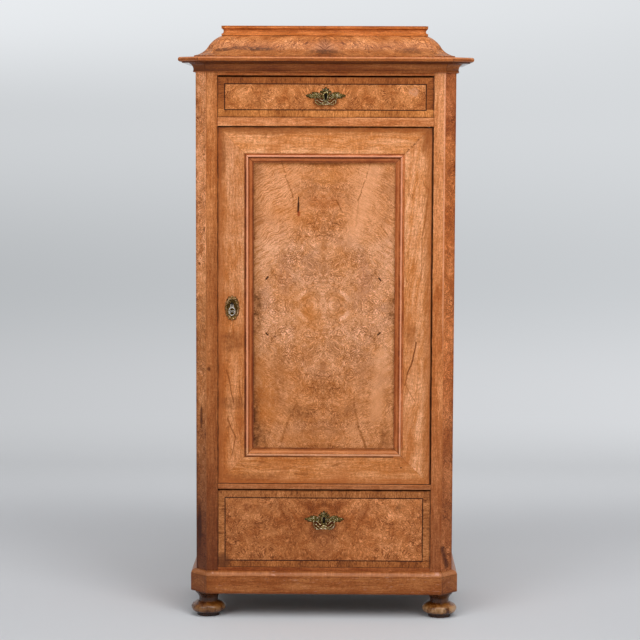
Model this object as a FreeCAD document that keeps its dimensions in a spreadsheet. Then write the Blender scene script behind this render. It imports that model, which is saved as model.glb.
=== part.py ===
"""Walnut linen cupboard: one framed door between two drawers, bun feet, cove cornice, hipped top.

Millimetres, +Z up. The origin is the middle of the underside of the bounding box; the front looks
along -Y. Every length comes from the cells of the sheet called "dims".
"""
import FreeCAD, Part
import math
import os
import Sketcher

VECTOR = FreeCAD.Vector
TURN = FreeCAD.Rotation
MITRE = math.tan(math.radians(22.5))
SLOPED = 0.7
STRAIGHT = 0.0
CLOSE = 0.01
GRIP_LEAN = -38
COVE_BULGE = -0.28
BEAD_BULGE = 0.9
BACK_BOARDS = 4
SHELVES = ("low", "middle", "high")

SIZES = {
    "body_half": 418.0, "cant": 36.0, "opening_half": 345.6, "post_depth": 60.0, "case_depth": 450.0,
    "cornice_reach": 55.0, "side_thick": 22.0, "back_thick": 10.0, "body_low": 81.0, "body_top": 1798.5,
    "rail_thick": 24.0, "ledge_set": 31.0, "board_thick": 18.0, "slip": 0.5,
    "base_rail_top": 166.0, "waist_low": 424.0, "waist_top": 440.5, "floor_top": 447.0,
    "drawer_rail_low": 1598.3, "drawer_rail_top": 1626.0, "frieze_low": 1759.5,
    "plinth_reach": 18.5, "plinth_face_top": 138.0, "plinth_top": 154.0,
    "cove_low": 1770.0, "cove_fillet": 8.0, "cove_fillet_top": 1774.0, "cove_reach": 21.0,
    "lip_reach": 42.0, "lip_top": 1803.0, "nose_top": 1817.4, "nose_round": 6.5,
    "ogee_foot": 1823.0, "ogee_bend_in": 45.5, "ogee_bend_height": 1855.0,
    "ogee_in": 88.5, "ogee_top": 1889.0, "cap_reach": 4.0, "cap_waist": 6.5, "cap_round": 6.2,
    "cap_band": 1895.0, "cap_shelf": 1911.5, "cap_top": 1920.0, "pediment_aside": 5.0,
    "door_left": 344.4, "door_right": 342.4, "door_low": 442.5, "door_high": 1594.3,
    "door_set": 2.5, "door_thick": 24.0, "sight_left": 260.0, "sight_right": 254.0,
    "sight_low": 528.5, "sight_high": 1511.5, "panel_set": 12.5, "panel_thick": 9.0,
    "groove_deep": 8.0, "tenon_long": 42.0, "tenon_thick": 8.0,
    "hinge_in": 10.0, "hinge_back": 7.0, "hinge_pin": 4.0, "hinge_play": 0.08, "hinge_lead": 6.0,
    "strap_long": 62.0, "strap_wide": 16.0, "strap_thick": 2.5, "plate_long": 20.0, "pin_past": 2.5,
    "pin_shoulder": 2.5, "shoulder_gap": 0.3, "pin_room": 1.0, "pin_room_deep": 4.0,
    "key_across": 299.0, "key_height": 1023.6, "key_shaft": 3.0, "key_hole": 4.6,
    "front_thick": 22.0, "drawer_side_thick": 12.0, "drawer_long": 400.0, "drawer_gap": 1.2,
    "top_front_low": 1627.0, "top_front_high": 1754.0, "low_front_low": 167.0, "low_front_high": 419.0,
    "drawer_bottom_thick": 7.0, "drawer_bottom_up": 12.0, "drawer_groove": 6.0,
    "foot_across": 379.0, "foot_in": 40.0, "foot_max": 56.0, "foot_neck": 31.0, "foot_collar": 43.0,
    "foot_sole": 37.0, "foot_wide_at": 27.0, "foot_neck_at": 50.0, "foot_tenon": 14.0, "tenon_rise": 36.0,
    "rear_foot_in": 56.0, "foot_lip": 3.0, "foot_block_deep": 92.0, "foot_block_lap": 2.0,
    "shelf_front": 62.0, "cleat_wide": 12.0, "cleat_high": 22.0,
    "guide_wide": 16.0, "guide_high": 18.0, "guide_short": 30.0, "guide_proud": 1.0,
    "stop_across": 170.0, "stop_half": 20.0, "stop_high": 6.0, "stop_near": 12.0, "stop_far": 30.0,
    "pediment_thick": 15.0, "pediment_board": 12.0, "tenon_inset": 14.0,
    "moulding_wide": 30.0, "moulding_lip": 1.6, "moulding_foot": 26.5, "moulding_shelf": 8.2,
    "cove_end": 13.2, "bead_far": 12.0, "bead_near": 5.5, "moulding_high": 11.2,
    "case_wall": 1.5, "case_set": 11.5, "case_past": 16.0, "case_below": 36.0, "case_above": 34.0,
    "bolt_above": 12.5, "bolt_high": 11.0, "bolt_near": 16.0, "bolt_far": 21.0, "bolt_play": 0.4,
    "bolt_long": 44.0, "mortise_deep": 11.0, "mortise_play": 1.0,
    "keyhole_near": 5.0, "keyhole_far": 15.0, "keyhole_slot": 12.0, "case_slot": 10.5, "plate_slot": 16.0,
    "plate_eye_up": 4.0, "pivot_out": 8.0, "shaft_long": 26.5, "shaft_out": 3.0, "pin_radius": 1.5,
    "pin_half": 5.2, "tongue_half": 1.7, "tongue_tall": 2.2, "tongue_round": 2.6, "bit_half": 1.2,
    "bit_near": 15.5, "bit_far": 22.0, "bit_long": 9.0, "ear_near": 2.1, "ear_far": 4.9, "ear_half": 2.2,
    "ear_low": 8.0, "ear_high": 3.0, "bow_drop": 19.5, "bow_half": 1.6, "bow_play": 0.08,
    "dovetail_lap": 7.0, "dovetail_flare": 3.0, "side_drop": 8.0, "side_play": 0.8, "back_drop": 6.0,
    "drawer_case_near": 10.0, "drawer_case_half": 30.0, "drawer_case_low": 18.0, "drawer_bolt_half": 9.0,
    "drawer_bolt_near": 13.5, "drawer_bolt_far": 18.5, "drawer_bolt_long": 30.0,
    "drawer_mortise_half": 11.0, "drawer_mortise_near": 12.0, "drawer_mortise_far": 20.0,
    "drawer_mortise_low": 1.0, "drawer_mortise_high": 16.0, "top_key_up": 68.5, "low_key_up": 158.7,
    "pull_plate": 3.0, "pull_grip": 4.5, "grip_up": 5.0, "grip_trim_half": 40.0, "grip_trim": 12.0,
    "pull_eye_up": 3.0, "pull_slot": 13.0,
}

doc = FreeCAD.newDocument("linen_cupboard")
nodes = []


class Size:
    """A length together with the formula that gives it from the sheet."""

    def __init__(self, value, text=None):
        self.value = float(value)
        self.text = text if text is not None else f"({value:.6f})"

    def __add__(self, other):
        other = as_size(other)
        return Size(self.value + other.value, f"({self.text} + {other.text})")

    def __sub__(self, other):
        other = as_size(other)
        return Size(self.value - other.value, f"({self.text} - {other.text})")

    def __mul__(self, factor):
        return Size(self.value * factor, f"({self.text} * {factor:.6f})")

    def __neg__(self):
        return self * -1

    __radd__ = __add__
    __rmul__ = __mul__

    def __rsub__(self, other):
        return as_size(other) - self


def as_size(length):
    """Any plain number becomes a Size."""
    return length if isinstance(length, Size) else Size(length)


def make_sheet():
    """The sheet of driving dimensions, one named cell per size."""
    sheet = doc.addObject("Spreadsheet::Sheet", "dims")
    for row, (name, value) in enumerate(SIZES.items(), start=1):
        sheet.set(f"A{row}", name)
        sheet.set(f"B{row}", str(value))
        sheet.setAlias(f"B{row}", name)
    doc.recompute()


class Dims:
    """The named cells as Sizes: dims.cant and so on."""

    def __getattr__(self, name):
        return Size(SIZES[name], f"dims.{name}")


dims = Dims()
front = (dims.cornice_reach - dims.case_depth) * 0.5
back = front + dims.case_depth


# ---------------------------------------------------------------- helpers


def place(item, x=0, y=0, z=0, turn=None):
    """Puts an object at x, y, z by formula, turned by a rotation."""
    if turn is not None:
        item.Placement = FreeCAD.Placement(VECTOR(0, 0, 0), turn)
    for axis, length in zip("xyz", (x, y, z)):
        item.setExpression(f"Placement.Base.{axis}", as_size(length).text)
    return item


def keep(item, label):
    """Registers an object as a sub-part under its label."""
    item.Label = label
    nodes.append(item)
    return item


def box(label, x_span, y_span, z_span):
    """A rectangular board or recess between two limits on each axis."""
    item = doc.addObject("Part::Box", label)
    spans = [tuple(as_size(end) for end in span) for span in (x_span, y_span, z_span)]
    for side, (low, high) in zip(("Length", "Width", "Height"), spans):
        item.setExpression(side, (high - low).text)
    return place(item, *(span[0] for span in spans))


def rod(label, radius, length, x, y, z, turn=None):
    """A round bar or bore from x, y, z along its own axis."""
    item = doc.addObject("Part::Cylinder", label)
    item.setExpression("Radius", as_size(radius).text)
    item.setExpression("Height", as_size(length).text)
    return place(item, x, y, z, turn)


def group(label, items):
    """Several separate solids under one label."""
    item = doc.addObject("Part::Compound", label)
    item.Links = items
    return item


def cut(label, base, tools):
    """The base less every tool."""
    item = doc.addObject("Part::Cut", label)
    item.Base = base
    item.Tool = tools[0] if len(tools) == 1 else joined(f"{label}_tools", tools)
    return item


def joined(label, items):
    """One solid out of several that meet."""
    item = doc.addObject("Part::MultiFuse", label)
    item.Shapes = items
    return item


ALONG_Y = TURN(VECTOR(1, 0, 0), -90)
ALONG_X = TURN(VECTOR(0, 1, 0), 90)


def sketch(body, role, outlines, lift=0):
    """A closed sketch on an origin plane.

    Each outline is a list of corners (across, up) or (across, up, bulge). The bulge makes the side
    that leaves the corner an arc, and is the arc's height over half its chord, positive when the
    arc lies to the right of the direction of travel.
    """
    drawing = body.newObject("Sketcher::SketchObject", f"{body.Name}_sketch")
    plane = [part for part in body.Origin.OriginFeatures if part.Role == role][0]
    drawing.AttachmentSupport = [(plane, "")]
    drawing.MapMode = "FlatFace"
    drawing.setExpression("AttachmentOffset.Base.z", as_size(lift).text)
    for outline in outlines:
        draw(drawing, [(as_size(c[0]), as_size(c[1]), c[2] if len(c) > 2 else 0) for c in outline])
    return drawing


def draw(drawing, corners):
    """Adds one closed outline to a sketch and binds every corner and radius."""
    first = drawing.GeometryCount
    count = len(corners)
    ends = []
    for index, (across, up, bulge) in enumerate(corners):
        start = VECTOR(across.value, up.value, 0)
        after = corners[(index + 1) % count]
        stop = VECTOR(after[0].value, after[1].value, 0)
        if not bulge:
            drawing.addGeometry(Part.LineSegment(start, stop), False)
            ends.append((1, 2))
            continue
        chord = stop - start
        middle = (start + stop) * 0.5 + VECTOR(chord.y, -chord.x, 0) * (bulge * 0.5)
        if bulge > 0:
            drawing.addGeometry(Part.Arc(start, middle, stop), False)
            ends.append((1, 2))
        else:
            drawing.addGeometry(Part.Arc(stop, middle, start), False)
            ends.append((2, 1))
    for index in range(count):
        after = (index + 1) % count
        joint = (first + index, ends[index][1], first + after, ends[after][0])
        drawing.addConstraint(Sketcher.Constraint("Coincident", *joint))
    for index, (across, up, bulge) in enumerate(corners):
        for kind, length in (("DistanceX", across), ("DistanceY", up)):
            bind(drawing, Sketcher.Constraint(kind, -1, 1, first + index, ends[index][0], length.value), length)
        if bulge:
            after = corners[(index + 1) % count]
            bind_radius(drawing, first + index, after[0] - across, after[1] - up, bulge)


def bind(drawing, constraint, length):
    """Adds a constraint and ties it to its formula."""
    number = drawing.addConstraint(constraint)
    drawing.setExpression(f"Constraints[{number}]", length.text)


def bind_radius(drawing, edge, run, rise, bulge):
    """Ties an arc's radius to its chord and bulge."""
    factor = (1 + bulge * bulge) / (4 * abs(bulge))
    value = math.hypot(run.value, rise.value) * factor
    text = f"sqrt({run.text} ^ 2 + {rise.text} ^ 2) * {factor:.9f}"
    bind(drawing, Sketcher.Constraint("Radius", edge, value), Size(value, text))


def new_body(name):
    """An empty PartDesign body."""
    return doc.addObject("PartDesign::Body", name)


def pad(body, drawing, length):
    """Raises a sketch along its normal."""
    feature = body.newObject("PartDesign::Pad", f"{body.Name}_pad")
    feature.Profile = drawing
    feature.setExpression("Length", as_size(length).text)
    doc.recompute()
    return feature


def pocket(body, drawing, length=None):
    """Sinks a sketch against its normal, through everything when no depth is given."""
    before = body.Shape.Volume
    feature = body.newObject("PartDesign::Pocket", f"{body.Name}_pocket")
    feature.Profile = drawing
    if length is None:
        feature.Type = 1
    else:
        feature.setExpression("Length", as_size(length).text)
    doc.recompute()
    if body.Shape.Volume >= before:
        raise RuntimeError(f"{feature.Name} removes nothing")
    return feature


def prism(name, role, outlines, low, high):
    """A flat outline raised between two heights."""
    body = new_body(name)
    pad(body, sketch(body, role, outlines, low), as_size(high) - low)
    return body


def run(name, profile, length, slopes, reach, top):
    """A straight length of moulding along +X, outward side towards -Y.

    The profile is drawn as (inward, up). Each end is cut by an upright plane that opens outward by
    its slope, so that neighbouring runs meet in mitres. A slope of 0 is a square end.
    """
    body = new_body(name)
    reach = as_size(reach)
    extra = reach * max(slopes) + 1
    pad(body, sketch(body, "YZ_Plane", [profile], -extra), as_size(length) + extra * 2)
    wedges = []
    for end, side, slope in ((as_size(0), -1, slopes[0]), (as_size(length), 1, slopes[1])):
        lean = reach * (slope * side)
        beyond = end + extra * (side * 2)
        wedges.append([(end + lean, -reach), (beyond, -reach), (beyond, reach), (end - lean, reach)])
    pocket(body, sketch(body, "XY_Plane", wedges, as_size(top) + 1))
    return body


def around(name, profile, slope, reach, top, aside=0):
    """One moulding carried round the front, the two cants and the two sides.

    The slope says how far a corner moves along the front for each step outward. The cants get the
    same profile, stretched so that it meets its neighbours in the mitre planes. The whole moulding
    sits aside by some length to the left.
    """
    reach = as_size(reach)
    cant_slope = (1 - slope) / (1 + slope)
    stretch = (1 + slope) / math.sqrt(2)
    cant_profile = [(as_size(corner[0]) * stretch, *corner[1:]) for corner in profile]
    cant_long = dims.cant * math.sqrt(2)
    side_long = dims.case_depth - dims.cant
    inner = dims.body_half - dims.cant
    front_run = run(f"{name}_front_run", profile, inner * 2, (slope, slope), reach, top)
    place(front_run, -inner - aside, front)
    cants = []
    sides = []
    for hand, sign in (("left", -1), ("right", 1)):
        item = run(f"{name}_cant_{hand}", cant_profile, cant_long, (cant_slope, cant_slope), reach * stretch, top)
        start = (inner - aside, front) if sign > 0 else (-dims.body_half - aside, front + dims.cant)
        cants.append(place(item, *start, turn=TURN(VECTOR(0, 0, 1), 45 * sign)))
        slopes = (slope, 0) if sign > 0 else (0, slope)
        item = run(f"{name}_side_{hand}", profile, side_long, slopes, reach, top)
        start = (dims.body_half - aside, front + dims.cant) if sign > 0 else (-dims.body_half - aside, back)
        sides.append(place(item, *start, turn=TURN(VECTOR(0, 0, 1), 90 * sign)))
    return front_run, cants, sides


def plan(reach, slope=MITRE):
    """The outline of the body at some reach beyond it: straight back, two canted front corners."""
    reach = as_size(reach)
    half = dims.body_half + reach
    leg = dims.cant + reach * (1 - slope)
    edge = front - reach
    inner = half - leg
    return [(-half, back), (-half, edge + leg), (-inner, edge), (inner, edge), (half, edge + leg), (half, back)]


def soften(body, radius, heights, reach):
    """Rounds the level edges at the given heights along the front, cants and sides at one reach."""
    feature = body.Tip
    widest = (dims.body_half + reach).value
    nearest = (front - reach).value
    names = []
    for number, edge in enumerate(body.Shape.Edges, start=1):
        room = edge.BoundBox
        outside = abs(max(-room.XMin, room.XMax) - widest) < CLOSE or abs(room.YMin - nearest) < CLOSE
        level = room.ZLength < CLOSE and any(abs(room.ZMin - up.value) < CLOSE for up in heights)
        if level and outside and room.YMin < back.value - 1:
            names.append(f"Edge{number}")
    rounding = body.newObject("PartDesign::Fillet", f"{body.Name}_round")
    rounding.Base = (feature, names)
    rounding.setExpression("Radius", as_size(radius).text)
    doc.recompute()


def keyhole(name, across, height, near, far, radius, drop):
    """A round hole with a slot below it, sunk along Y between two depths."""
    hole = rod(f"{name}_eye", radius, far - near, across, near, height, ALONG_Y)
    slot_half = as_size(radius) * 0.55
    slot = box(f"{name}_slot", (across - slot_half, across + slot_half), (near, far), (height - drop, height))
    return [hole, slot]


# ---------------------------------------------------------------- carcass


def make_posts(bolt_mortise):
    """Two front posts with a 45 degree cant, bored for the feet; the left one takes the door bolt."""
    for hand, sign in (("left", -1), ("right", 1)):
        half = dims.body_half * sign
        flat = (dims.body_half - dims.cant) * sign
        inner = dims.opening_half * sign
        rear = front + dims.post_depth
        corners = [(inner, front), (flat, front), (half, front + dims.cant), (half, rear), (inner, rear)]
        blank = prism(f"post_{hand}_blank", "XY_Plane", [corners], dims.body_low, dims.body_top)
        bore = rod(f"post_{hand}_bore", dims.foot_tenon, dims.tenon_rise, dims.foot_across * sign,
                   front + dims.foot_in, dims.body_low)
        tools = [bore, bolt_mortise] if sign < 0 else [bore]
        keep(cut(f"post_{hand}", blank, tools), f"corner_post_{hand}")


def make_sides():
    """Two side boards, rebated at the back edge for the back boards."""
    inner = dims.body_half - dims.side_thick
    rebate_half = dims.body_half - dims.side_thick * 0.5
    rebate = box("back_rebate", (-rebate_half, rebate_half), (back - dims.back_thick, back + 1),
                 (dims.body_low - 1, dims.body_top + 1))
    for hand, sign in (("left", -1), ("right", 1)):
        span = (-dims.body_half, -inner) if sign < 0 else (inner, dims.body_half)
        blank = box(f"side_{hand}_blank", span, (front + dims.post_depth, back), (dims.body_low, dims.body_top))
        keep(cut(f"side_{hand}_cut", blank, [rebate]), f"side_{hand}")
    boards = []
    width = rebate_half * (2 / BACK_BOARDS)
    for index in range(BACK_BOARDS):
        start = -rebate_half + width * index
        boards.append(box(f"back_board_{index}", (start + dims.slip, start + width - dims.slip),
                          (back - dims.back_thick, back), (dims.body_low, dims.body_top)))
    keep(group("back_group", boards), "back_boards")


def make_level(label, low, high, near):
    """A level board across the case, notched round the two posts."""
    inner = dims.body_half - dims.side_thick
    post = dims.opening_half
    rear = front + dims.post_depth
    far = back - dims.back_thick
    corners = [(-inner, rear), (-post, rear), (-post, near), (post, near), (post, rear), (inner, rear),
               (inner, far), (-inner, far)]
    keep(prism(f"{label}_board", "XY_Plane", [corners], low, high), label)


def make_rails(door_plates, bolts):
    """Four front rails between the posts, let in for the door pins and the drawer bolts."""
    across = (-dims.opening_half, dims.opening_half)
    thin = (front, front + dims.rail_thick)
    deep = (front, front + dims.ledge_set)
    keep(box("rail_bottom_box", across, thin, (dims.body_low, dims.base_rail_top)), "rail_bottom")
    waist = box("rail_waist_box", across, deep, (dims.waist_low, dims.waist_top))
    keep(cut("rail_waist_cut", waist, [door_plates[0], bolts[0]]), "rail_waist")
    drawer_rail = box("rail_drawer_box", across, deep, (dims.drawer_rail_low, dims.drawer_rail_top))
    keep(cut("rail_drawer_cut", drawer_rail, [door_plates[1]]), "rail_drawer")
    frieze = box("rail_frieze_box", across, thin, (dims.frieze_low, dims.body_top))
    keep(cut("rail_frieze_cut", frieze, [bolts[1]]), "rail_frieze")
    make_level("bottom_board", dims.base_rail_top - dims.board_thick, dims.base_rail_top, thin[1])
    make_level("cupboard_floor", dims.floor_top - dims.board_thick, dims.floor_top, deep[1])
    make_level("dust_board", dims.drawer_rail_top - dims.board_thick, dims.drawer_rail_top, deep[1])
    make_level("top_board", dims.body_top - dims.board_thick, dims.body_top, thin[1])


def make_shelves():
    """Three loose shelves on cleats, evenly spaced in the cupboard."""
    inner = dims.body_half - dims.side_thick
    far = back - dims.back_thick
    ceiling = dims.drawer_rail_top - dims.board_thick
    count = len(SHELVES)
    space = (ceiling - dims.floor_top - dims.board_thick * count) * (1 / (count + 1))
    cleats = []
    for index, name in enumerate(SHELVES):
        low = dims.floor_top + space * (index + 1) + dims.board_thick * index
        across = (-inner + dims.slip, inner - dims.slip)
        keep(box(f"shelf_{name}_box", across, (front + dims.shelf_front, far), (low, low + dims.board_thick)),
             f"shelf_{name}")
        for hand, sign in (("left", -1), ("right", 1)):
            span = sorted((inner * sign, (inner - dims.cleat_wide) * sign), key=lambda end: end.value)
            depth = (front + dims.shelf_front + dims.cleat_wide, far - dims.cleat_wide)
            cleats.append(box(f"cleat_{name}_{hand}", span, depth, (low - dims.cleat_high, low)))
    keep(group("cleat_group", cleats), "shelf_cleats")


def make_guides():
    """Strips that keep each drawer straight and the blocks that stop its front."""
    strips = []
    lane = dims.opening_half - dims.guide_proud
    depth = (front + dims.post_depth, back - dims.guide_short)
    near = front + dims.front_thick + dims.slip
    for name, level in (("low", dims.base_rail_top), ("top", dims.drawer_rail_top)):
        for hand, sign in (("left", -1), ("right", 1)):
            span = sorted((lane * sign, (lane + dims.guide_wide) * sign), key=lambda end: end.value)
            strips.append(box(f"guide_{name}_{hand}", span, depth, (level, level + dims.guide_high)))
            centre = dims.stop_across * sign
            strips.append(box(f"stop_{name}_{hand}", (centre - dims.stop_half, centre + dims.stop_half),
                              (near + dims.stop_near, near + dims.stop_far), (level, level + dims.stop_high)))
    keep(group("guide_group", strips), "drawer_guides")


def make_feet():
    """Four turned bun feet with a neck, a flared collar and a round tenon."""
    feet = {}
    neck_top = dims.foot_neck_at + dims.foot_lip
    profile = [(0, 0), (dims.foot_sole, 0, 0.27), (dims.foot_max, dims.foot_wide_at, 0.42),
               (dims.foot_neck, dims.foot_neck_at), (dims.foot_neck, neck_top, -0.3),
               (dims.foot_collar, dims.body_low - dims.foot_lip), (dims.foot_collar, dims.body_low),
               (dims.foot_tenon, dims.body_low), (dims.foot_tenon, dims.body_low + dims.tenon_rise),
               (0, dims.body_low + dims.tenon_rise)]
    for depth_name, depth in (("front", front + dims.foot_in), ("back", back - dims.rear_foot_in)):
        for hand, sign in (("left", -1), ("right", 1)):
            body = new_body(f"foot_{depth_name}_{hand}_body")
            drawing = sketch(body, "XZ_Plane", [profile])
            turning = body.newObject("PartDesign::Revolution", f"{body.Name}_turning")
            turning.Profile = drawing
            turning.ReferenceAxis = (drawing, ["V_Axis"])
            turning.Angle = 360
            doc.recompute()
            feet[depth_name, hand] = place(body, dims.foot_across * sign, depth)
    keep(feet["front", "left"], "foot_front_left")
    keep(feet["front", "right"], "foot_front_right")
    keep(group("feet_back_group", [feet["back", "left"], feet["back", "right"]]), "feet_back")
    blocks = []
    inner = dims.body_half - dims.side_thick
    for hand, sign in (("left", -1), ("right", 1)):
        span = sorted((inner * sign, (dims.opening_half - dims.foot_block_lap) * sign), key=lambda end: end.value)
        far = back - dims.back_thick
        block = box(f"foot_block_{hand}", span, (far - dims.foot_block_deep, far),
                    (dims.body_low, dims.base_rail_top - dims.board_thick))
        bore = rod(f"foot_block_bore_{hand}", dims.foot_tenon, dims.tenon_rise, dims.foot_across * sign,
                   back - dims.rear_foot_in, dims.body_low)
        blocks.append(cut(f"foot_block_{hand}_cut", block, [bore]))
    keep(group("foot_block_group", blocks), "foot_blocks")


def make_mouldings():
    """The plinth, the cove under the cornice, the cornice board and the hipped pediment.

    The pediment is a loose top that sits a little to the left of the middle.
    """
    plinth = [(-dims.plinth_reach, dims.body_low), (0, dims.body_low), (0, dims.plinth_top, 0.3),
              (-dims.plinth_reach, dims.plinth_face_top)]
    parts = around("plinth", plinth, STRAIGHT, dims.plinth_reach + 1, dims.plinth_top)
    keep(parts[0], "plinth_front")
    keep(group("plinth_cant_group", parts[1]), "plinth_cants")
    keep(group("plinth_side_group", parts[2]), "plinth_sides")

    cove = [(-dims.cove_fillet, dims.cove_low), (0, dims.cove_low), (0, dims.body_top),
            (-dims.cove_reach, dims.body_top, -0.35), (1 - dims.cove_fillet, dims.cove_fillet_top + 1),
            (-dims.cove_fillet, dims.cove_fillet_top)]
    parts = around("cove", cove, MITRE, dims.cove_reach + 1, dims.body_top)
    keep(parts[0], "cove_front")
    keep(group("cove_return_group", parts[1] + parts[2]), "cove_returns")

    board = prism("cornice_body", "XY_Plane", [plan(dims.lip_reach)], dims.body_top, dims.lip_top)
    pad(board, sketch(board, "XY_Plane", [plan(dims.cornice_reach)], dims.lip_top), dims.nose_top - dims.lip_top)
    soften(board, dims.nose_round, (dims.lip_top, dims.nose_top), dims.cornice_reach)
    keep(board, "cornice_board")

    thick = dims.pediment_thick
    ogee = [(0, dims.nose_top), (dims.ogee_in * 0.36, dims.nose_top), (dims.ogee_in + thick, dims.ogee_top),
            (dims.ogee_in, dims.ogee_top, 0.15), (dims.ogee_bend_in, dims.ogee_bend_height, -0.24),
            (0, dims.ogee_foot)]
    aside = dims.pediment_aside
    parts = around("pediment", ogee, SLOPED, dims.ogee_in + thick + 1, dims.ogee_top, aside)
    keep(parts[0], "pediment_front")
    keep(group("pediment_cant_group", parts[1]), "pediment_cants")
    keep(group("pediment_side_group", parts[2]), "pediment_sides")
    low_half = dims.body_half - dims.ogee_in * 0.36
    high_half = dims.body_half - dims.ogee_in - thick
    corners = [(-low_half, dims.nose_top), (low_half, dims.nose_top), (high_half, dims.ogee_top),
               (-high_half, dims.ogee_top)]
    rear = prism("pediment_back_board", "XZ_Plane", [corners], -back, -back + dims.pediment_board)
    keep(place(rear, -aside), "pediment_back")

    rim = dims.cap_reach - dims.ogee_in
    waist = rim - dims.cap_waist
    cap = prism("cap_body", "XY_Plane", [plan(rim, SLOPED)], dims.ogee_top, dims.cap_band)
    pad(cap, sketch(cap, "XY_Plane", [plan(waist, SLOPED)], dims.cap_band), dims.cap_shelf - dims.cap_band)
    pad(cap, sketch(cap, "XY_Plane", [plan(rim, SLOPED)], dims.cap_shelf), dims.cap_top - dims.cap_shelf)
    soften(cap, dims.cap_round, (dims.cap_shelf, dims.cap_band), waist)
    keep(place(cap, -aside), "pediment_cap")


# ---------------------------------------------------------------- door

door_front = front + dims.door_set
door_back = door_front + dims.door_thick
hinge_across = dims.door_right - dims.hinge_in
hinge_depth = door_front + dims.hinge_back
strap_depth = (hinge_depth - dims.hinge_lead, hinge_depth - dims.hinge_lead + dims.strap_wide)


def make_hinges():
    """Pin hinges at the top and bottom of the door's right edge.

    Fixed plates with pins lie in the rails; straps with holes lie in the ends of the door stile.
    Returns the recesses for the rails and for the stile.
    """
    across = (hinge_across - dims.plate_long, dims.opening_half)
    reach = (dims.door_right - dims.strap_long, dims.door_right)
    plates = []
    pins = []
    straps = []
    bores = []
    for name, wall, plate_up, edge, strap_up in (
            ("low", dims.waist_top, -1, dims.door_low, 1), ("high", dims.drawer_rail_low, 1, dims.door_high, -1)):
        plate_z = sorted((wall, wall + dims.strap_thick * plate_up), key=lambda end: end.value)
        plates.append(box(f"hinge_plate_{name}", across, strap_depth, plate_z))
        tip = edge + (dims.strap_thick + dims.pin_past) * strap_up
        span = sorted((wall, tip), key=lambda end: end.value)
        pin = rod(f"hinge_pin_{name}", dims.hinge_pin, span[1] - span[0], hinge_across, hinge_depth, span[0])
        pieces = [plates[-1], pin]
        if name == "low":
            pieces.append(rod("hinge_shoulder", dims.hinge_pin + dims.pin_shoulder, edge - wall - dims.shoulder_gap,
                              hinge_across, hinge_depth, wall))
        pins.append(joined(f"hinge_fixed_{name}", pieces))
        strap_z = sorted((edge, edge + dims.strap_thick * strap_up), key=lambda end: end.value)
        strap = box(f"hinge_strap_{name}", reach, strap_depth, strap_z)
        hole = rod(f"hinge_hole_{name}", dims.hinge_pin + dims.hinge_play, dims.strap_thick * 2, hinge_across,
                   hinge_depth, strap_z[0] - 1)
        straps.append(cut(f"hinge_strap_{name}_cut", strap, [hole]))
        far = edge + (dims.strap_thick + dims.pin_room_deep) * strap_up
        room = sorted((edge, far), key=lambda end: end.value)
        bore = rod(f"hinge_room_{name}", dims.hinge_pin + dims.pin_room, room[1] - room[0], hinge_across,
                   hinge_depth, room[0])
        bores += [strap, bore]
    keep(group("hinge_pin_group", pins), "hinge_pins")
    keep(group("hinge_strap_group", straps), "door_hinges")
    return plates, bores


def make_door(stile_cuts):
    """Frame and panel door: two stiles, two tenoned rails, a flat panel and a mitred sight moulding."""
    depth = (door_front, door_back)
    groove_x = (-dims.sight_left - dims.groove_deep, dims.sight_right + dims.groove_deep)
    groove_z = (dims.sight_low - dims.groove_deep, dims.sight_high + dims.groove_deep)
    panel_depth = (front + dims.panel_set, front + dims.panel_set + dims.panel_thick)
    panel = box("door_panel_box", groove_x, panel_depth, groove_z)
    keep(panel, "door_panel")
    tenons = []
    rail_x = (-dims.sight_left, dims.sight_right)
    tenon_x = (-dims.sight_left - dims.tenon_long, dims.sight_right + dims.tenon_long)
    tenon_depth = (door_front + dims.tenon_thick, door_front + dims.tenon_thick * 2)
    for name, low, high in (("bottom", dims.door_low, dims.sight_low), ("top", dims.sight_high, dims.door_high)):
        tenon = box(f"tenon_{name}", tenon_x, tenon_depth, (low + dims.tenon_inset, high - dims.tenon_inset))
        tenons.append(tenon)
        rail = joined(f"rail_{name}_solid", [box(f"rail_{name}_blank", rail_x, depth, (low, high)), tenon])
        keep(cut(f"rail_{name}_cut", rail, [panel]), f"door_rail_{name}")
    left = box("stile_lock_blank", (-dims.door_left, -dims.sight_left), depth, (dims.door_low, dims.door_high))
    keep(cut("stile_lock_cut", left, [panel] + tenons + stile_cuts["lock"]), "door_stile_lock")
    right = box("stile_hinge_blank", (dims.sight_right, dims.door_right), depth, (dims.door_low, dims.door_high))
    keep(cut("stile_hinge_cut", right, [panel] + tenons + stile_cuts["hinge"]), "door_stile_hinge")

    shelf = dims.moulding_shelf
    section = [(0, 0), (dims.moulding_wide, 0), (dims.moulding_wide, dims.moulding_lip),
               (dims.moulding_foot, dims.moulding_lip, COVE_BULGE), (dims.cove_end, shelf),
               (dims.bead_far, shelf, BEAD_BULGE), (dims.bead_near, shelf), (0, shelf)]
    wide = dims.sight_left + dims.sight_right
    high = dims.sight_high - dims.sight_low
    corners = ((-dims.sight_left, dims.sight_low, wide, 0), (dims.sight_right, dims.sight_low, high, -90),
               (dims.sight_right, dims.sight_high, wide, 180), (-dims.sight_left, dims.sight_high, high, 90))
    bars = []
    for number, (across, up, length, angle) in enumerate(corners):
        bar = run(f"sight_bar_{number}", section, length, (1, 1), dims.moulding_wide + 1, dims.moulding_high + 5)
        turn = TURN(VECTOR(0, 1, 0), angle).multiply(TURN(VECTOR(1, 0, 0), 90))
        bars.append(place(bar, across, panel_depth[0], up, turn))
    keep(group("sight_group", bars), "door_moulding")


def widened(span, play):
    """A span with some play at both ends."""
    return as_size(span[0]) - play, as_size(span[1]) + play


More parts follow.
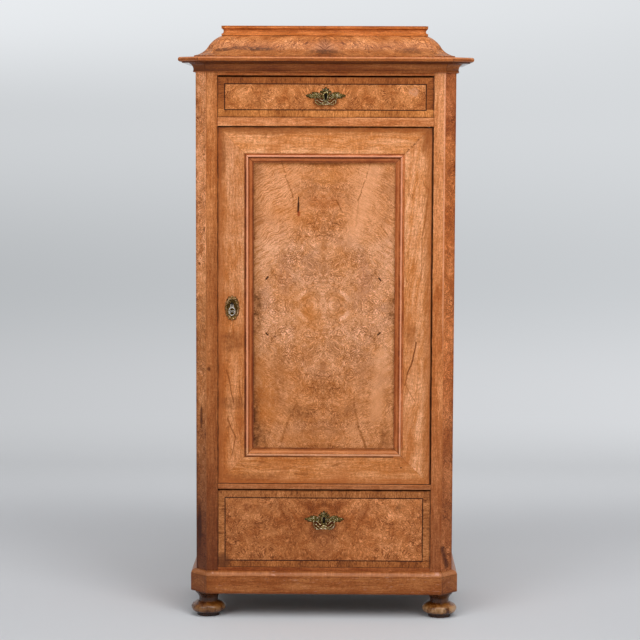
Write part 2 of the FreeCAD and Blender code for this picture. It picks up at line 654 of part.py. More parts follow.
def shell(name, x_span, y_span, z_span, holes):
    """A thin metal case around an empty space, pierced by holes."""
    outer = box(f"{name}_outer", x_span, y_span, z_span)
    spans = [widened(span, -dims.case_wall) for span in (x_span, y_span, z_span)]
    inner = box(f"{name}_room", *spans)
    return outer, cut(f"{name}_case", outer, [inner] + holes)


def make_door_lock():
    """Mortise lock with its bolt, the mortise that takes the bolt, the escutcheon and the folding key."""
    across = -dims.key_across
    up = dims.key_height
    left = -dims.door_left
    near = front - dims.keyhole_near
    far = front + dims.keyhole_far
    bolt_y = (front + dims.bolt_near, front + dims.bolt_far)
    bolt_z = (up + dims.bolt_above, up + dims.bolt_above + dims.bolt_high)
    hole = keyhole("lock_hole", across, up, near, far, dims.key_hole - 1, dims.case_slot)
    slot = box("lock_slot", (left - 1, left + dims.case_wall * 2), widened(bolt_y, dims.bolt_play),
               widened(bolt_z, dims.bolt_play))
    outer, case = shell("door_lock", (left, across + dims.case_past), (front + dims.case_set, door_back),
                        (up - dims.case_below, up + dims.case_above), hole + [slot])
    keep(case, "door_lock")
    keep(box("door_bolt_bar", (left + dims.bolt_play, left + dims.bolt_long), bolt_y, bolt_z), "door_bolt")
    mortise = box("bolt_mortise", (-dims.opening_half - dims.mortise_deep, 1 - dims.opening_half),
                  widened(bolt_y, dims.mortise_play), widened(bolt_z, dims.mortise_play * 1.5))

    wood_hole = keyhole("stile_hole", across, up, front, far, dims.key_hole, dims.keyhole_slot)
    edge = [(0, -51, 0.12), (11, -46, 0.1), (22, -31, 0.1), (24.5, -10, 0.1), (20, 10, 0.1), (9, 19, -0.2),
            (5, 25, 0.5)]
    rim = mirrored_outline(edge, (0, 31.5), across, up)
    plate = prism("door_plate", "XZ_Plane", [rim], -door_front, -door_front + dims.pull_plate)
    hole = keyhole("plate_hole", across, up + dims.plate_eye_up, near, far, dims.key_hole, dims.plate_slot)
    hole.append(rod("plate_shaft_hole", dims.key_hole - 1, far - near, across, near, up, ALONG_Y))
    keep(cut("door_plate_cut", plate, hole), "door_escutcheon")

    pivot = front - dims.pivot_out
    shaft = rod("key_shaft_bar", dims.key_shaft, dims.shaft_long, across, front - dims.shaft_out, up, ALONG_Y)
    tongue = box("key_tongue", widened((across, across), dims.tongue_half),
                 (pivot - dims.tongue_round, front - dims.shaft_out * 0.8), widened((up, up), dims.tongue_tall))
    pin = rod("key_pin", dims.pin_radius, dims.pin_half * 2, across - dims.pin_half, pivot, up, ALONG_X)
    bit = box("key_bit", widened((across, across), dims.bit_half), (front + dims.bit_near, front + dims.bit_far),
              (up - dims.bit_long, up))
    keep(joined("key_solid", [shaft, tongue, pin, bit]), "door_key")

    ears = []
    for sign in (-1, 1):
        span = sorted((across + dims.ear_near * sign, across + dims.ear_far * sign), key=lambda end: end.value)
        ears.append(box(f"bow_ear_{span[0].value:.0f}", span, widened((pivot, pivot), dims.ear_half),
                        (up - dims.ear_low, up + dims.ear_high)))
    middle = up - dims.bow_drop
    ring = [(0, -14.5, 0.42), (11.5, 0, 0.42), (0, 14.5, 0.42), (-11.5, 0, 0.42)]
    eye = [(0, -10, 0.42), (7.5, 0, 0.42), (0, 8.5, 0.42), (-7.5, 0, 0.42)]
    shifted = [[(across + corner[0], middle + corner[1], corner[2]) for corner in line] for line in (ring, eye)]
    loop = prism("bow_loop", "XZ_Plane", shifted, -(pivot + dims.bow_half), -(pivot - dims.bow_half))
    hole = rod("bow_hole", dims.pin_radius + dims.bow_play, dims.pin_half * 3, across - dims.pin_half * 1.5,
               pivot, up, ALONG_X)
    keep(cut("bow_cut", joined("bow_solid", ears + [loop]), [hole]), "key_bow")
    return mortise, [outer] + wood_hole


def mirrored_outline(half, top, across, up):
    """A symmetrical outline from the corners of its right half, bottom first, and its top corner."""
    corners = list(half) + [top]
    for index in range(len(half) - 1, 0, -1):
        x, y = half[index][:2]
        corners.append((-x, y, half[index - 1][2]))
    corners[len(half)] = (top[0], top[1], half[-1][2])
    return [(across + x, up + y, bulge) for x, y, bulge in corners]


# ---------------------------------------------------------------- drawers


def make_drawer(name, low, high, key_up, tails):
    """A dovetailed drawer with its pull, lock and bolt; returns the mortise for the bolt."""
    half = dims.opening_half - dims.drawer_gap
    outer = half - dims.side_play
    inner = outer - dims.drawer_side_thick
    far = front + dims.drawer_long
    shoulder = front + dims.front_thick
    tip = front + dims.dovetail_lap
    side_top = high - dims.side_drop
    corners = [(shoulder, low), (far, low), (far, side_top), (shoulder, side_top)]
    space = (side_top - low) * (1 / tails)
    for index in range(tails - 1, -1, -1):
        middle = low + space * (index + 0.5)
        spread = space * 0.27
        flare = spread + dims.dovetail_flare
        corners += [(shoulder, middle + spread), (tip, middle + flare), (tip, middle - flare),
                    (shoulder, middle - spread)]
    floor_low = low + dims.drawer_bottom_up
    reach = inner + dims.drawer_groove
    floor_box = box(f"{name}_floor", (-reach, reach), (shoulder - dims.drawer_groove, far),
                    (floor_low, floor_low + dims.drawer_bottom_thick))
    blanks = [prism(f"{name}_side_left", "YZ_Plane", [corners], -outer, -inner),
              prism(f"{name}_side_right", "YZ_Plane", [corners], inner, outer)]
    keep(group(f"{name}_side_group", [cut(f"{blank.Name}_cut", blank, [floor_box]) for blank in blanks]),
         f"{name}_sides")
    keep(floor_box, f"{name}_bottom")
    keep(box(f"{name}_back_board", (-inner, inner), (far - dims.drawer_side_thick, far),
             (floor_low + dims.drawer_bottom_thick, side_top - dims.back_drop)), f"{name}_back")

    middle = as_size(0)
    case_near = front + dims.drawer_case_near
    bolt_x = widened((middle, middle), dims.drawer_bolt_half)
    bolt_y = (front + dims.drawer_bolt_near, front + dims.drawer_bolt_far)
    slot = box(f"{name}_lock_slot", widened(bolt_x, dims.bolt_play), widened(bolt_y, dims.bolt_play),
               (high - dims.case_wall * 2, high + 1))
    hole = keyhole(f"{name}_lock_hole", middle, key_up, case_near - 1, case_near + dims.case_wall * 2,
                   dims.key_hole - 1, dims.case_slot)
    case_outer, case = shell(f"{name}_lock", widened((middle, middle), dims.drawer_case_half), (case_near, shoulder),
                             (key_up - dims.drawer_case_low, high), [slot] + hole)
    keep(case, f"{name}_lock")
    keep(box(f"{name}_bolt_bar", bolt_x, bolt_y, (high - dims.drawer_bolt_long, high - dims.bolt_play)),
         f"{name}_bolt")

    wood_hole = keyhole(f"{name}_hole", middle, key_up, front - 1, case_near + 1, dims.key_hole, dims.keyhole_slot)
    blank = box(f"{name}_front_blank", (-half, half), (front, shoulder), (low, high))
    keep(cut(f"{name}_front_cut", blank, blanks + [floor_box, case_outer] + wood_hole), f"{name}_front")
    make_pull(name, key_up)
    return box(f"{name}_mortise", widened((middle, middle), dims.drawer_mortise_half),
               (front + dims.drawer_mortise_near, front + dims.drawer_mortise_far),
               (high + dims.drawer_mortise_low, high + dims.drawer_mortise_high))


def make_pull(name, up):
    """A winged brass plate with a keyhole and a sloping openwork grip below it."""
    edge = [(0, -20, 0), (6, -15, -0.2), (13, -9, 0), (28, -7, 0), (41, -10, 0.1), (55, -5, 0), (66.5, 3, 0.3),
            (60, 8, 0.1), (42, 10, -0.1), (29, 9, -0.2), (14, 12, 0.1), (9, 21, 0.3)]
    middle = as_size(0)
    rim = mirrored_outline(edge, (0, 28), middle, up)
    plate = prism(f"{name}_plate", "XZ_Plane", [rim], -front, -front + dims.pull_plate)
    bar = dims.pull_grip
    frame = [(-33, 0), (-33, -28, 0.35), (-25, -37), (25, -37, 0.35), (33, -28), (33, 0)]
    holes = [[(-28, -6), (-28, -27, 0.35), (-23, -32.5), (-2.5, -32.5), (-2.5, -6)],
             [(2.5, -6), (2.5, -32.5), (23, -32.5, 0.35), (28, -27), (28, -6)]]
    grip = prism(f"{name}_grip", "XZ_Plane", [frame] + holes, 0, bar)
    place(grip, 0, front - dims.pull_plate + bar * 0.6, up + dims.grip_up, TURN(VECTOR(1, 0, 0), GRIP_LEAN))
    trim = box(f"{name}_trim", widened((middle, middle), dims.grip_trim_half), (front, front + dims.grip_trim),
               widened((up, up), dims.grip_trim))
    solid = cut(f"{name}_pull_solid", joined(f"{name}_pull_joined", [plate, grip]), [trim])
    hole = keyhole(f"{name}_pull_hole", middle, up + dims.pull_eye_up, front - dims.grip_trim, front + 2,
                   dims.key_hole - dims.bolt_play, dims.pull_slot)
    keep(cut(f"{name}_pull_cut", solid, hole), f"{name}_pull")


# ---------------------------------------------------------------- assembly


def check_and_write():
    """Stops on any failed object or bad solid, then writes one file per sub-part."""
    doc.recompute()
    failed = [item.Name for item in doc.Objects if "Invalid" in item.State or "Error" in item.State]
    if failed:
        raise RuntimeError(f"objects failed: {failed}")
    os.makedirs("parts", exist_ok=True)
    for item in nodes:
        shape = item.Shape
        if shape.isNull() or not shape.isValid() or not shape.Solids:
            raise RuntimeError(f"bad shape: {item.Label}")
    for item in nodes:
        item.Shape.exportStep(f"parts/{item.Label}.step")
    print(len(nodes), "sub-parts written")


make_sheet()
low_key = dims.low_front_low + dims.low_key_up
top_key = dims.top_front_low + dims.top_key_up
mortises = [make_drawer("low_drawer", dims.low_front_low, dims.low_front_high, low_key, 4),
            make_drawer("top_drawer", dims.top_front_low, dims.top_front_high, top_key, 2)]
plate_recesses, strap_recesses = make_hinges()
bolt_mortise, lock_recesses = make_door_lock()
make_door({"lock": lock_recesses, "hinge": strap_recesses})
make_posts(bolt_mortise)
make_sides()
make_rails(plate_recesses, mortises)
make_shelves()
make_guides()
make_feet()
make_mouldings()
check_and_write()
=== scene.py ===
"""Walnut linen cupboard with burl veneers, cast brass pulls and a plain studio stage."""
import math

import bmesh
import bpy
import numpy as np
from bpy.props import FloatProperty, FloatVectorProperty, PointerProperty
from mathutils import Matrix, Vector


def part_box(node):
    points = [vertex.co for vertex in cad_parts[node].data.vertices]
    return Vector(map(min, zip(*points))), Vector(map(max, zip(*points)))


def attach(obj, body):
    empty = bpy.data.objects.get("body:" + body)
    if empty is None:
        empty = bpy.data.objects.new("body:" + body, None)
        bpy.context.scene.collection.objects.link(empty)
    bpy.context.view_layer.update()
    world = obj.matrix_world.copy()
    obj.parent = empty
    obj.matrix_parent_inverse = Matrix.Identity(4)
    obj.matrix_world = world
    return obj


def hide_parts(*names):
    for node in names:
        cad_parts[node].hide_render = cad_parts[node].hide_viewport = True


bl_info = {
    "name": "Linen Cupboard",
    "version": (1, 0, 0),
    "blender": (4, 5, 0),
    "location": "View3D > Sidebar > Cupboard",
    "description": "Veneers, brass and stage for a walnut linen cupboard",
    "category": "Object",
}

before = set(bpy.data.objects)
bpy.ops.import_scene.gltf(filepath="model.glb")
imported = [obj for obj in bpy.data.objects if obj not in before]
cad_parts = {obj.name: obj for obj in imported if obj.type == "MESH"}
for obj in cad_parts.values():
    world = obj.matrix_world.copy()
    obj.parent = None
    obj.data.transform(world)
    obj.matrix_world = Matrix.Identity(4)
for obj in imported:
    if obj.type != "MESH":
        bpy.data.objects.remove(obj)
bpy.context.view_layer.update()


def span(node, axis):
    """The lowest and highest place of a node along one axis."""
    low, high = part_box(node)
    return low[axis], high[axis]


X, Y, Z = range(3)
FRONT = span("corner_post_left", Y)[0]
HALF = span("corner_post_right", X)[1]
OPENING = span("corner_post_right", X)[0]
CANT = 0.036
FLAT = HALF - CANT
DOOR_X = (span("door_stile_lock", X)[0], span("door_stile_hinge", X)[1])
DOOR_Z = span("door_stile_lock", Z)
SIGHT_X = (span("door_stile_lock", X)[1], span("door_stile_hinge", X)[0])
SIGHT_Z = (span("door_rail_bottom", Z)[1], span("door_rail_top", Z)[0])
MOULDING = 0.030
PANEL_X = (SIGHT_X[0] + MOULDING, SIGHT_X[1] - MOULDING)
PANEL_Z = (SIGHT_Z[0] + MOULDING, SIGHT_Z[1] - MOULDING)
ESCUTCHEON = (-0.299, 1.0236)
BACK_BOARDS = 4
TONGUE_HALF = 0.004
BOARD = (span("back_boards", X)[1] - span("back_boards", X)[0]) / BACK_BOARDS
PULLS = {"low_drawer": 0.3257, "top_drawer": 1.6955}
SHARP_ANGLE = math.radians(38)
FLUSH_ANGLE = math.radians(0.5)
ARRIS_SEGMENTS = 2
TINY = 1e-6


def paint(text):
    """A display colour written as six hex digits, as linear red, green and blue."""
    parts = [int(text[index:index + 2], 16) / 255 for index in (0, 2, 4)]
    return tuple(part / 12.92 if part <= 0.04045 else ((part + 0.055) / 1.055) ** 2.4 for part in parts)


# ---------------------------------------------------------------- shader arithmetic


def feed(tree, slot, value):
    """Joins a wire to a socket, or sets the socket's own value."""
    if isinstance(value, Wire):
        tree.links.new(value.socket, slot)
    elif isinstance(value, (int, float)):
        slot.default_value = value
    else:
        slot.default_value = (*value, 1.0) if len(slot.default_value) == 4 else tuple(value)


def wired(tree, kind, output, values, **settings):
    """A new shader node with its settings and inputs. Returns one output, or all of them for None."""
    node = tree.nodes.new(f"ShaderNode{kind}")
    for name, value in settings.items():
        setattr(node, name, value)
    for slot, value in values.items():
        feed(tree, node.inputs[slot], value)
    if output is None:
        return [Wire(tree, socket) for socket in node.outputs]
    return Wire(tree, node.outputs[output])


class Wire:
    """A shader socket that sums and products can be written with."""

    def __init__(self, tree, socket):
        self.tree = tree
        self.socket = socket

    def math(self, kind, *others):
        """The result of one kind of Math node."""
        return wired(self.tree, "Math", 0, dict(enumerate((self, *others))), operation=kind)

    def __rsub__(self, other):
        return self * -1.0 + other

    def step(self, start, stop):
        """Smooth rise from 0 at start to 1 at stop."""
        limits = (start, stop, 0.0, 1.0) if start < stop else (stop, start, 1.0, 0.0)
        values = {"Value": self, **dict(zip(("From Min", "From Max", "To Min", "To Max"), limits))}
        return wired(self.tree, "MapRange", "Result", values, interpolation_type="SMOOTHSTEP")

    def band(self, centre, width):
        """1 on a line at centre, falling to 0 at width either side."""
        return (self - centre).abs().step(width, 0.0)

    def inside(self, low, high, soft):
        """1 between two values, with soft edges."""
        return self.step(low - soft, low + soft) * self.step(high + soft, high - soft)


def operation(kind):
    """A method that makes one kind of Math node."""
    return lambda self, *others: self.math(kind, *others)


for names, kind in (("__add__ __radd__", "ADD"), ("__sub__", "SUBTRACT"), ("__mul__ __rmul__", "MULTIPLY"),
                    ("__truediv__", "DIVIDE"), ("abs", "ABSOLUTE"), ("low", "MINIMUM"), ("high", "MAXIMUM"),
                    ("above", "GREATER_THAN"), ("below", "LESS_THAN"), ("sign", "SIGN"),
                    ("fraction", "FRACT"), ("floor", "FLOOR")):
    for name in names.split():
        setattr(Wire, name, operation(kind))


def either(mask, yes, no):
    """One number where the mask is 1 and another where it is 0."""
    return no + mask * (yes - no)


def point(x, y, z):
    """A vector from three wires or numbers, of which at least one is a wire."""
    tree = next(part.tree for part in (x, y, z) if isinstance(part, Wire))
    return wired(tree, "CombineXYZ", 0, {0: x, 1: y, 2: z})


def noise(where, scale, detail=3.0, rough=0.55, bend=0.0):
    """Fractal noise from 0 to 1, mostly between 0.3 and 0.7."""
    values = {"Vector": where, "Scale": scale, "Detail": detail, "Roughness": rough, "Distortion": bend}
    return wired(where.tree, "TexNoise", "Fac", values)


def patches(x, seed, z, scale, low, high, detail=3.0, rough=0.55):
    """Noise over a front, cut between two levels: 1 in its patches."""
    return noise(point(x, seed, z), scale, detail, rough).step(low, high)


def drawn(along, across, seed, long, wide, detail, rough=0.55):
    """Noise drawn out along the grain, with its features a metre along and across it."""
    return noise(point(along * long, across * wide, seed), 1.0, detail, rough)


def scribble(field, levels, width):
    """Lines: 1 where a field crosses one of its levels, falling to 0 at a share of the way to the next."""
    return (field * levels).fraction().band(0.5, width)


def swing(field, amount):
    """A grey level that a noise swings about 1."""
    return (field - 0.5) * amount + 1.0


def cells(where, scale):
    """Distance to the nearest of scattered points."""
    return wired(where.tree, "TexVoronoi", "Distance", {"Vector": where, "Scale": scale})


def scatter(value):
    """A random number from 0 to 1 for each whole value."""
    return wired(value.tree, "TexWhiteNoise", "Value", {"W": value}, noise_dimensions="1D")


def tint(under, over, amount):
    """One colour over another by an amount from 0 to 1."""
    return wired(amount.tree, "Mix", 2, {0: amount, 6: under, 7: over}, data_type="RGBA", clamp_factor=True)


def shade(colour, amount):
    """A colour multiplied by a grey level."""
    return wired(amount.tree, "VectorMath", 0, {0: colour, "Scale": amount}, operation="SCALE")


def stain(colour, factors, amount):
    """A colour whose red, green and blue are scaled by factors of their own, by an amount from 0 to 1."""
    scaled = wired(amount.tree, "VectorMath", 0, {0: colour, 1: factors}, operation="MULTIPLY")
    return tint(colour, scaled, amount)


def lay(colour, *rows):
    """Lays rows over a colour in turn.

    A row holds a tint's name or six hex digits and an amount, or factors for red, green and
    blue and an amount, or None and a grey level.
    """
    for over, amount in rows:
        if over is None:
            colour = shade(colour, amount)
        elif isinstance(over, str):
            colour = tint(colour, tone(over), amount)
        else:
            colour = stain(colour, over, amount)
    return colour


# middle brown and power for red, green and blue
VARNISH = ((0.50, 0.86), (0.17, 1.08), (0.052, 1.55))
VARNISH_ROUGHNESS = 0.28
RELIEF_STRENGTH = 0.6
CAST_BRASS = {"metallic": 0.85, "depth": 0.0005}


def ripen(colour):
    """Varnish over a wood colour: each channel takes a power of its own about a middle brown.

    Dark parts grow warmer and pale parts creamier.
    """
    parts = wired(colour.tree, "SeparateColor", None, {0: colour})
    ripe = {channel: (parts[channel].high(0.0) / middle).math("POWER", power) * middle
            for channel, (middle, power) in enumerate(VARNISH)}
    return wired(colour.tree, "CombineColor", 0, ripe)


def here(tree):
    """The three coordinates of the surface point in the cupboard's own frame."""
    return wired(tree, "SeparateXYZ", None, {0: wired(tree, "TexCoord", "Object", {})})


def finish(name, build, metallic=0.0, coat=0.0, depth=0.0003, specular=0.16, varnished=True):
    """A material from a function that returns colour, roughness and height for a point."""
    made = bpy.data.materials.get(name)
    if made:
        return made
    made = bpy.data.materials.new(name)
    made.use_nodes = True
    tree = made.node_tree
    colour, rough, height = build(*here(tree))
    if varnished and not metallic:
        colour = ripen(colour)
    relief = wired(tree, "Bump", 0, {"Strength": RELIEF_STRENGTH, "Distance": depth, "Height": height})
    values = {"Base Color": colour, "Roughness": rough, "Metallic": metallic, "Coat Weight": coat,
              "Coat Roughness": VARNISH_ROUGHNESS, "Specular IOR Level": specular, "Normal": relief}
    for slot, value in values.items():
        feed(tree, tree.nodes["Principled BSDF"].inputs[slot], value)
    return made


# ---------------------------------------------------------------- wood figures


def segment(x, z, start, stop, width):
    """1 on a straight line from start to stop, falling to 0 at width from it."""
    run, rise = stop[0] - start[0], stop[1] - start[1]
    long = run * run + rise * rise
    along = ((x - start[0]) * (run / long) + (z - start[1]) * (rise / long)).high(0.0).low(1.0)
    gap_x = x - start[0] - along * run
    gap_z = z - start[1] - along * rise
    return (gap_x * gap_x + gap_z * gap_z).math("SQRT").step(width, width * 0.2)


def blot(x, z, centre, size):
    """1 in the middle of an oval patch, fading to 0 at its edge."""
    gap_x = (x - centre[0]) / size[0]
    gap_z = (z - centre[1]) / size[1]
    return (gap_x * gap_x + gap_z * gap_z).step(1.0, 0.1)


def spots(x, z, mask, over, rows):
    """Rows for lay: oval patches with centres, half sizes, strengths and, if any, tints of their own."""
    return [(own[0] if own else over, blot(x, z, (across, up), (wide, high)) * mask * strength)
            for across, up, wide, high, strength, *own in rows]


def cracks(x, z, mask, over, rows):
    """Rows for lay: straight lines with both ends, a width and a strength."""
    return [(over, segment(x, z, (left, low), (right, high), width) * mask * strength)
            for left, low, right, high, width, strength in rows]


def straight_grain(along, across, seed, wood, curl=0.5):
    """Plain walnut: slow bands and fine streaks along the grain, broken cross ripple and dark pores.

    Returns the colour and a height for the pores.
    """
    wander = drawn(along, across, seed, 2.2, 3.0, 2.0)
    swayed = across + (wander - 0.5) * 0.03
    bands = drawn(along, swayed, seed, 1.8, 36.0, 4.0, 0.65)
    streaks = drawn(along, swayed, seed + 3.0, 22.0, 150.0, 3.0, 0.65)
    flecks = drawn(along, swayed, seed + 4.0, 105.0, 270.0, 2.0, 0.7)
    mottle = drawn(along, across, seed + 5.0, 9.0, 17.0, 3.0)
    ripple = drawn(along + mottle * 0.02, across, seed + 9.0, 150.0, 45.0, 2.0)
    grit = noise(point(along, across, seed + 6.0), 270.0, 2.0, 0.7)
    pores = drawn(along, across, seed, 60.0, 700.0, 1.0).step(0.58, 0.72)
    light = (bands * 1.2 + mottle * 1.1 + streaks - 1.15).step(0.1, 0.9)
    lines = scribble(bands, 8.0, 0.2) * mottle.step(0.44, 0.6)
    colour = lay(tint(tone(f"{wood}_dark"), tone(f"{wood}_light"), light), ("grain_line", lines * 0.3),
                 (None, swing(flecks, 1.4)), (None, swing(ripple, curl * 1.5)), (None, swing(grit, 1.1)),
                 ("grain_line", pores * 0.45))
    return colour, streaks * 0.4 - pores


def burl(x, z, seed, wood, fine=1.0, hair=0.6):
    """Walnut burl: soft swirled ground, scribbled hair lines in two sizes and clustered dark eyes.

    The point is pushed about by slow noise first. Returns the colour and a height.
    """
    u = x + (noise(point(x, seed, z), 11.0) - 0.5) * 0.08
    w = z + (noise(point(x, seed + 7.0, z), 9.0) - 0.5) * 0.08
    slow = noise(point(x, seed + 3.0, z), 6.5, 3.0, 0.6, 0.6)
    swirl = noise(point(u, seed, w), 34.0 * fine, 4.0, 0.62, 0.9)
    curls = noise(point(u, seed + 1.0, w), 26.0 * fine, 4.0, 0.62, 1.5)
    crimp = noise(point(u, seed + 8.0, w), 70.0 * fine, 4.0, 0.62, 1.6)
    wide_lines = scribble(curls, 7.0, 0.20)
    fine_lines = scribble(crimp, 5.0, 0.26)
    busy = patches(x, seed + 2.0, z, 15.0, 0.38, 0.60)
    quiet = patches(x, seed + 5.0, z, 22.0, 0.36, 0.56)
    eyes = cells(point(u, seed, w), 100.0 * fine).step(0.30, 0.12)
    eyes = eyes * patches(x, seed + 4.0, z, 13.0, 0.5, 0.66)
    specks = noise(point(u, seed, w), 290.0, 2.0, 0.7)
    light = (swirl + slow * 0.7 - 0.35).step(0.15, 0.85)
    colour = lay(tint(tone(f"{wood}_dark"), tone(f"{wood}_light"), light), (None, swing(crimp, 1.2)),
                 ("grain_line", wide_lines * (busy * 0.55 + 0.5) * quiet * hair),
                 ("grain_line", fine_lines * (busy * 0.5 + 0.42) * hair),
                 ("grain_line", eyes * hair * 0.7), (None, swing(specks, 2.0)))
    return colour, specks * 0.4 - wide_lines * 0.5 - eyes * 0.6


def worm_holes(x, z, seed):
    """A row for lay: small round holes, millimetres to centimetres apart, in some stretches only."""
    dots = cells(point(x, seed, z), 70.0).step(0.1, 0.05)
    return "dirt", dots * patches(x, seed + 2.0, z, 18.0, 0.52, 0.6, 2.0) * 0.85


def mitre(x, z, box_x, box_z, soft=0.0004):
    """1 where a point beyond a rectangle belongs to its level borders, 0 for the upright ones."""
    beyond_x = (x - box_x[1]).high(box_x[0] - x)
    beyond_z = (z - box_z[1]).high(box_z[0] - z)
    return (beyond_z - beyond_x).step(-soft, soft), beyond_x, beyond_z


def turned_corner(x, y):
    """The way along a moulding that turns with it at the front corners."""
    return x + x.sign() * (y - FRONT).high(0.0)


# ---------------------------------------------------------------- sizes and colours to change


def swatch(label, text):
    """A colour setting with its default written as six hex digits."""
    return FloatVectorProperty(name=label, description=f"{label} of the cupboard", subtype="COLOR",
                               size=3, min=0.0, max=1.0, default=paint(text))


class CupboardColours(bpy.types.PropertyGroup):
    walnut_light: swatch("Plain walnut, light", "dc8549")
    walnut_dark: swatch("Plain walnut, dark", "a2572a")
    veneer_light: swatch("Door veneer, light", "e89858")
    veneer_dark: swatch("Door veneer, dark", "b56832")
    panel_light: swatch("Panel burl, light", "e0945e")
    panel_dark: swatch("Panel burl, dark", "b0693a")
    burl_light: swatch("Burl, light", "d18046")
    burl_dark: swatch("Burl, dark", "8a4820")
    band_light: swatch("Cross-banding, light", "be7038")
    band_dark: swatch("Cross-banding, dark", "7c421c")
    trim_light: swatch("Moulding, light", "d98048")
    trim_dark: swatch("Moulding, dark", "8a4622")
    # Painted shade laid in the cove of the door's sight moulding.
    trim_shade: swatch("Moulding, hollows", "70341a")
    cap_light: swatch("Cap, light", "ec8440")
    cap_dark: swatch("Cap, dark", "a2531f")
    # Painted highlight laid on the post arris, the sight moulding's bead, the cornice nose and the plinth
    # slope.
    rubbed: swatch("Moulding, rubbed", "eea06a")
    smoke: swatch("Smoky stain", "4a2e1c")
    grain_line: swatch("Grain lines", "532a12")
    stringing: swatch("Inlaid line", "1c0b03")
    # Used for real dirt, cracks and worm holes, and also as painted shade in gaps, quirks and corners and
    # under the cornice.
    dirt: swatch("Dirt in corners", "22120a")
    # Near-black painted shade for the inside of the keyholes, laid on the wood behind them.
    shaded_hollow: swatch("Inside of keyholes", "080503")
    pine_light: swatch("Inside wood, light", "cba172")
    pine_dark: swatch("Inside wood, dark", "9c7145")
    brass_light: swatch("Brass, plain", "9a8448")
    # Near-white on the raised crests of the brass: worn brass and a painted highlight together.
    brass_wear_and_highlight: swatch("Brass, rubbed", "f6ead2")
    brass_dark: swatch("Brass, tarnished", "2c230e")
    iron: swatch("Iron", "5b5650")
    floor: swatch("Floor", "d6d9dd")


class CupboardSizes(bpy.types.PropertyGroup):
    softening: FloatProperty(name="Edge softening", description="Width of the rounding on worn edges",
                             default=0.0009, min=0.0, max=0.003, unit="LENGTH")
    plate_rise: FloatProperty(name="Brass relief", description="How far the cast plates stand off the wood",
                              default=0.0042, min=0.001, max=0.008, unit="LENGTH")
    grip_reach: FloatProperty(name="Grip reach", description="How far a drawer grip stands out",
                              default=0.0235, min=0.01, max=0.03, unit="LENGTH")


def tone(name):
    """A colour setting, or a colour written as six hex digits, as linear red, green and blue."""
    setting = getattr(bpy.context.scene.cupboard_colours, name, None)
    return paint(name) if setting is None else tuple(setting)


# ---------------------------------------------------------------- finishes


# Colour by height on the posts, lighter high up and darker low down: partly darker wood, partly painted
# light that falls off towards the floor.
# side, on the cant or not, heights between which it comes in, and red, green and blue factors
POST_TONE_AND_SHADE = (
    (-1, 0, 1.15, 1.40, (1.43, 1.46, 1.41)), (-1, 0, 0.85, 0.15, (0.36, 0.35, 0.44)),
    (-1, 1, 0.95, 1.30, (1.21, 1.16, 1.17)), (-1, 1, 1.05, 0.15, (0.18, 0.17, 0.24)),
    (1, 0, 1.15, 1.40, (1.12, 1.22, 1.30)), (1, 0, 0.85, 0.15, (0.46, 0.46, 0.54)),
    (1, 1, 1.52, 1.60, (0.74, 0.71, 0.78)), (1, 1, 0.90, 0.45, (0.66, 0.70, 0.78)))
# centre, half sizes and strength
POST_SPOTS = (
    (-0.389, 1.268, 0.004, 0.012, 0.75), (-0.406, 1.156, 0.006, 0.006, 0.75),
    (-0.374, 0.816, 0.007, 0.009, 0.75), (-0.407, 0.30, 0.010, 0.09, 0.75),
    (-0.40, 0.66, 0.006, 0.05, 0.75))


def post_wood(x, y, z):
    """Front posts: plain upright grain on the flat, short lengths of burl veneer on the cant, painted
    highlights on the arris and painted light and shade by height.
    """
    side, left, right = x.sign(), x.below(0.0), x.above(0.0)
    seed = side * 3.0 + 4.0
    plain, pores = straight_grain(z, x, seed, "walnut")
    plain = lay(plain, (None, either(left, 0.72, 1.14)), ((0.94, 0.99, 1.05), right),
                ((0.92, 0.99, 1.075), left))
    over = (x.abs() - FLAT) * 1.41
    figured, lumps = burl(over + side * 2.0, z * 0.85, seed, "burl", 1.2, 1.0)
    pieces = (z * 4.1 + side * 0.3).floor()
    figured = lay(figured, (None, scatter(pieces + side * 40.0) * 0.3 + either(left, 1.42, 1.36)),
                  ((1.0, 1.16, 1.28), left), ((1.06, 0.98, 0.96), right),
                  (None, 1.06 - over.step(CANT * 1.08, CANT * 1.34) * 0.26))
    cant = x.abs().above(FLAT + 0.0006) * y.below(FRONT + CANT + 0.0004)
    # painted light and shade by height, with darker wood low down, from the table above
    tone_and_shade = [(factors, (x * sign).above(0.0) * z.step(start, stop) * either(cant, canted, 1.0 - canted))
            for sign, canted, start, stop, factors in POST_TONE_AND_SHADE]
    joint = patches(x, 3.0, z, 30.0, 0.35, 0.6, 2.0)
    colour = lay(
        tint(plain, figured, cant),
        # painted highlight on the arris between flat and cant
        ("walnut_light", x.abs().band(FLAT + 0.001, 0.0016) * 0.55),
        *tone_and_shade,
        # dirt and painted shade along the edge of the door opening, widening its dark gap
        ("dirt", x.abs().band(OPENING, 0.0035) * joint * 0.7),
        ("dirt", x.abs().band(FLAT - 0.0012, 0.0016) * left * joint * 0.5),
        # painted highlight on the upper part of the right post's arris
        ("rubbed", x.band(FLAT - 0.002, 0.003) * z.step(0.8, 1.05) * 0.6),
        *spots(x, z, 1.0, "dirt", POST_SPOTS),
        ("dirt", segment(x, z, (0.386, 0.232), (0.401, 0.168), 0.012) * 0.75),
        worm_holes(x, z, 2.0))
    return colour, pores * 0.1 + 0.42, either(cant, lumps, pores)


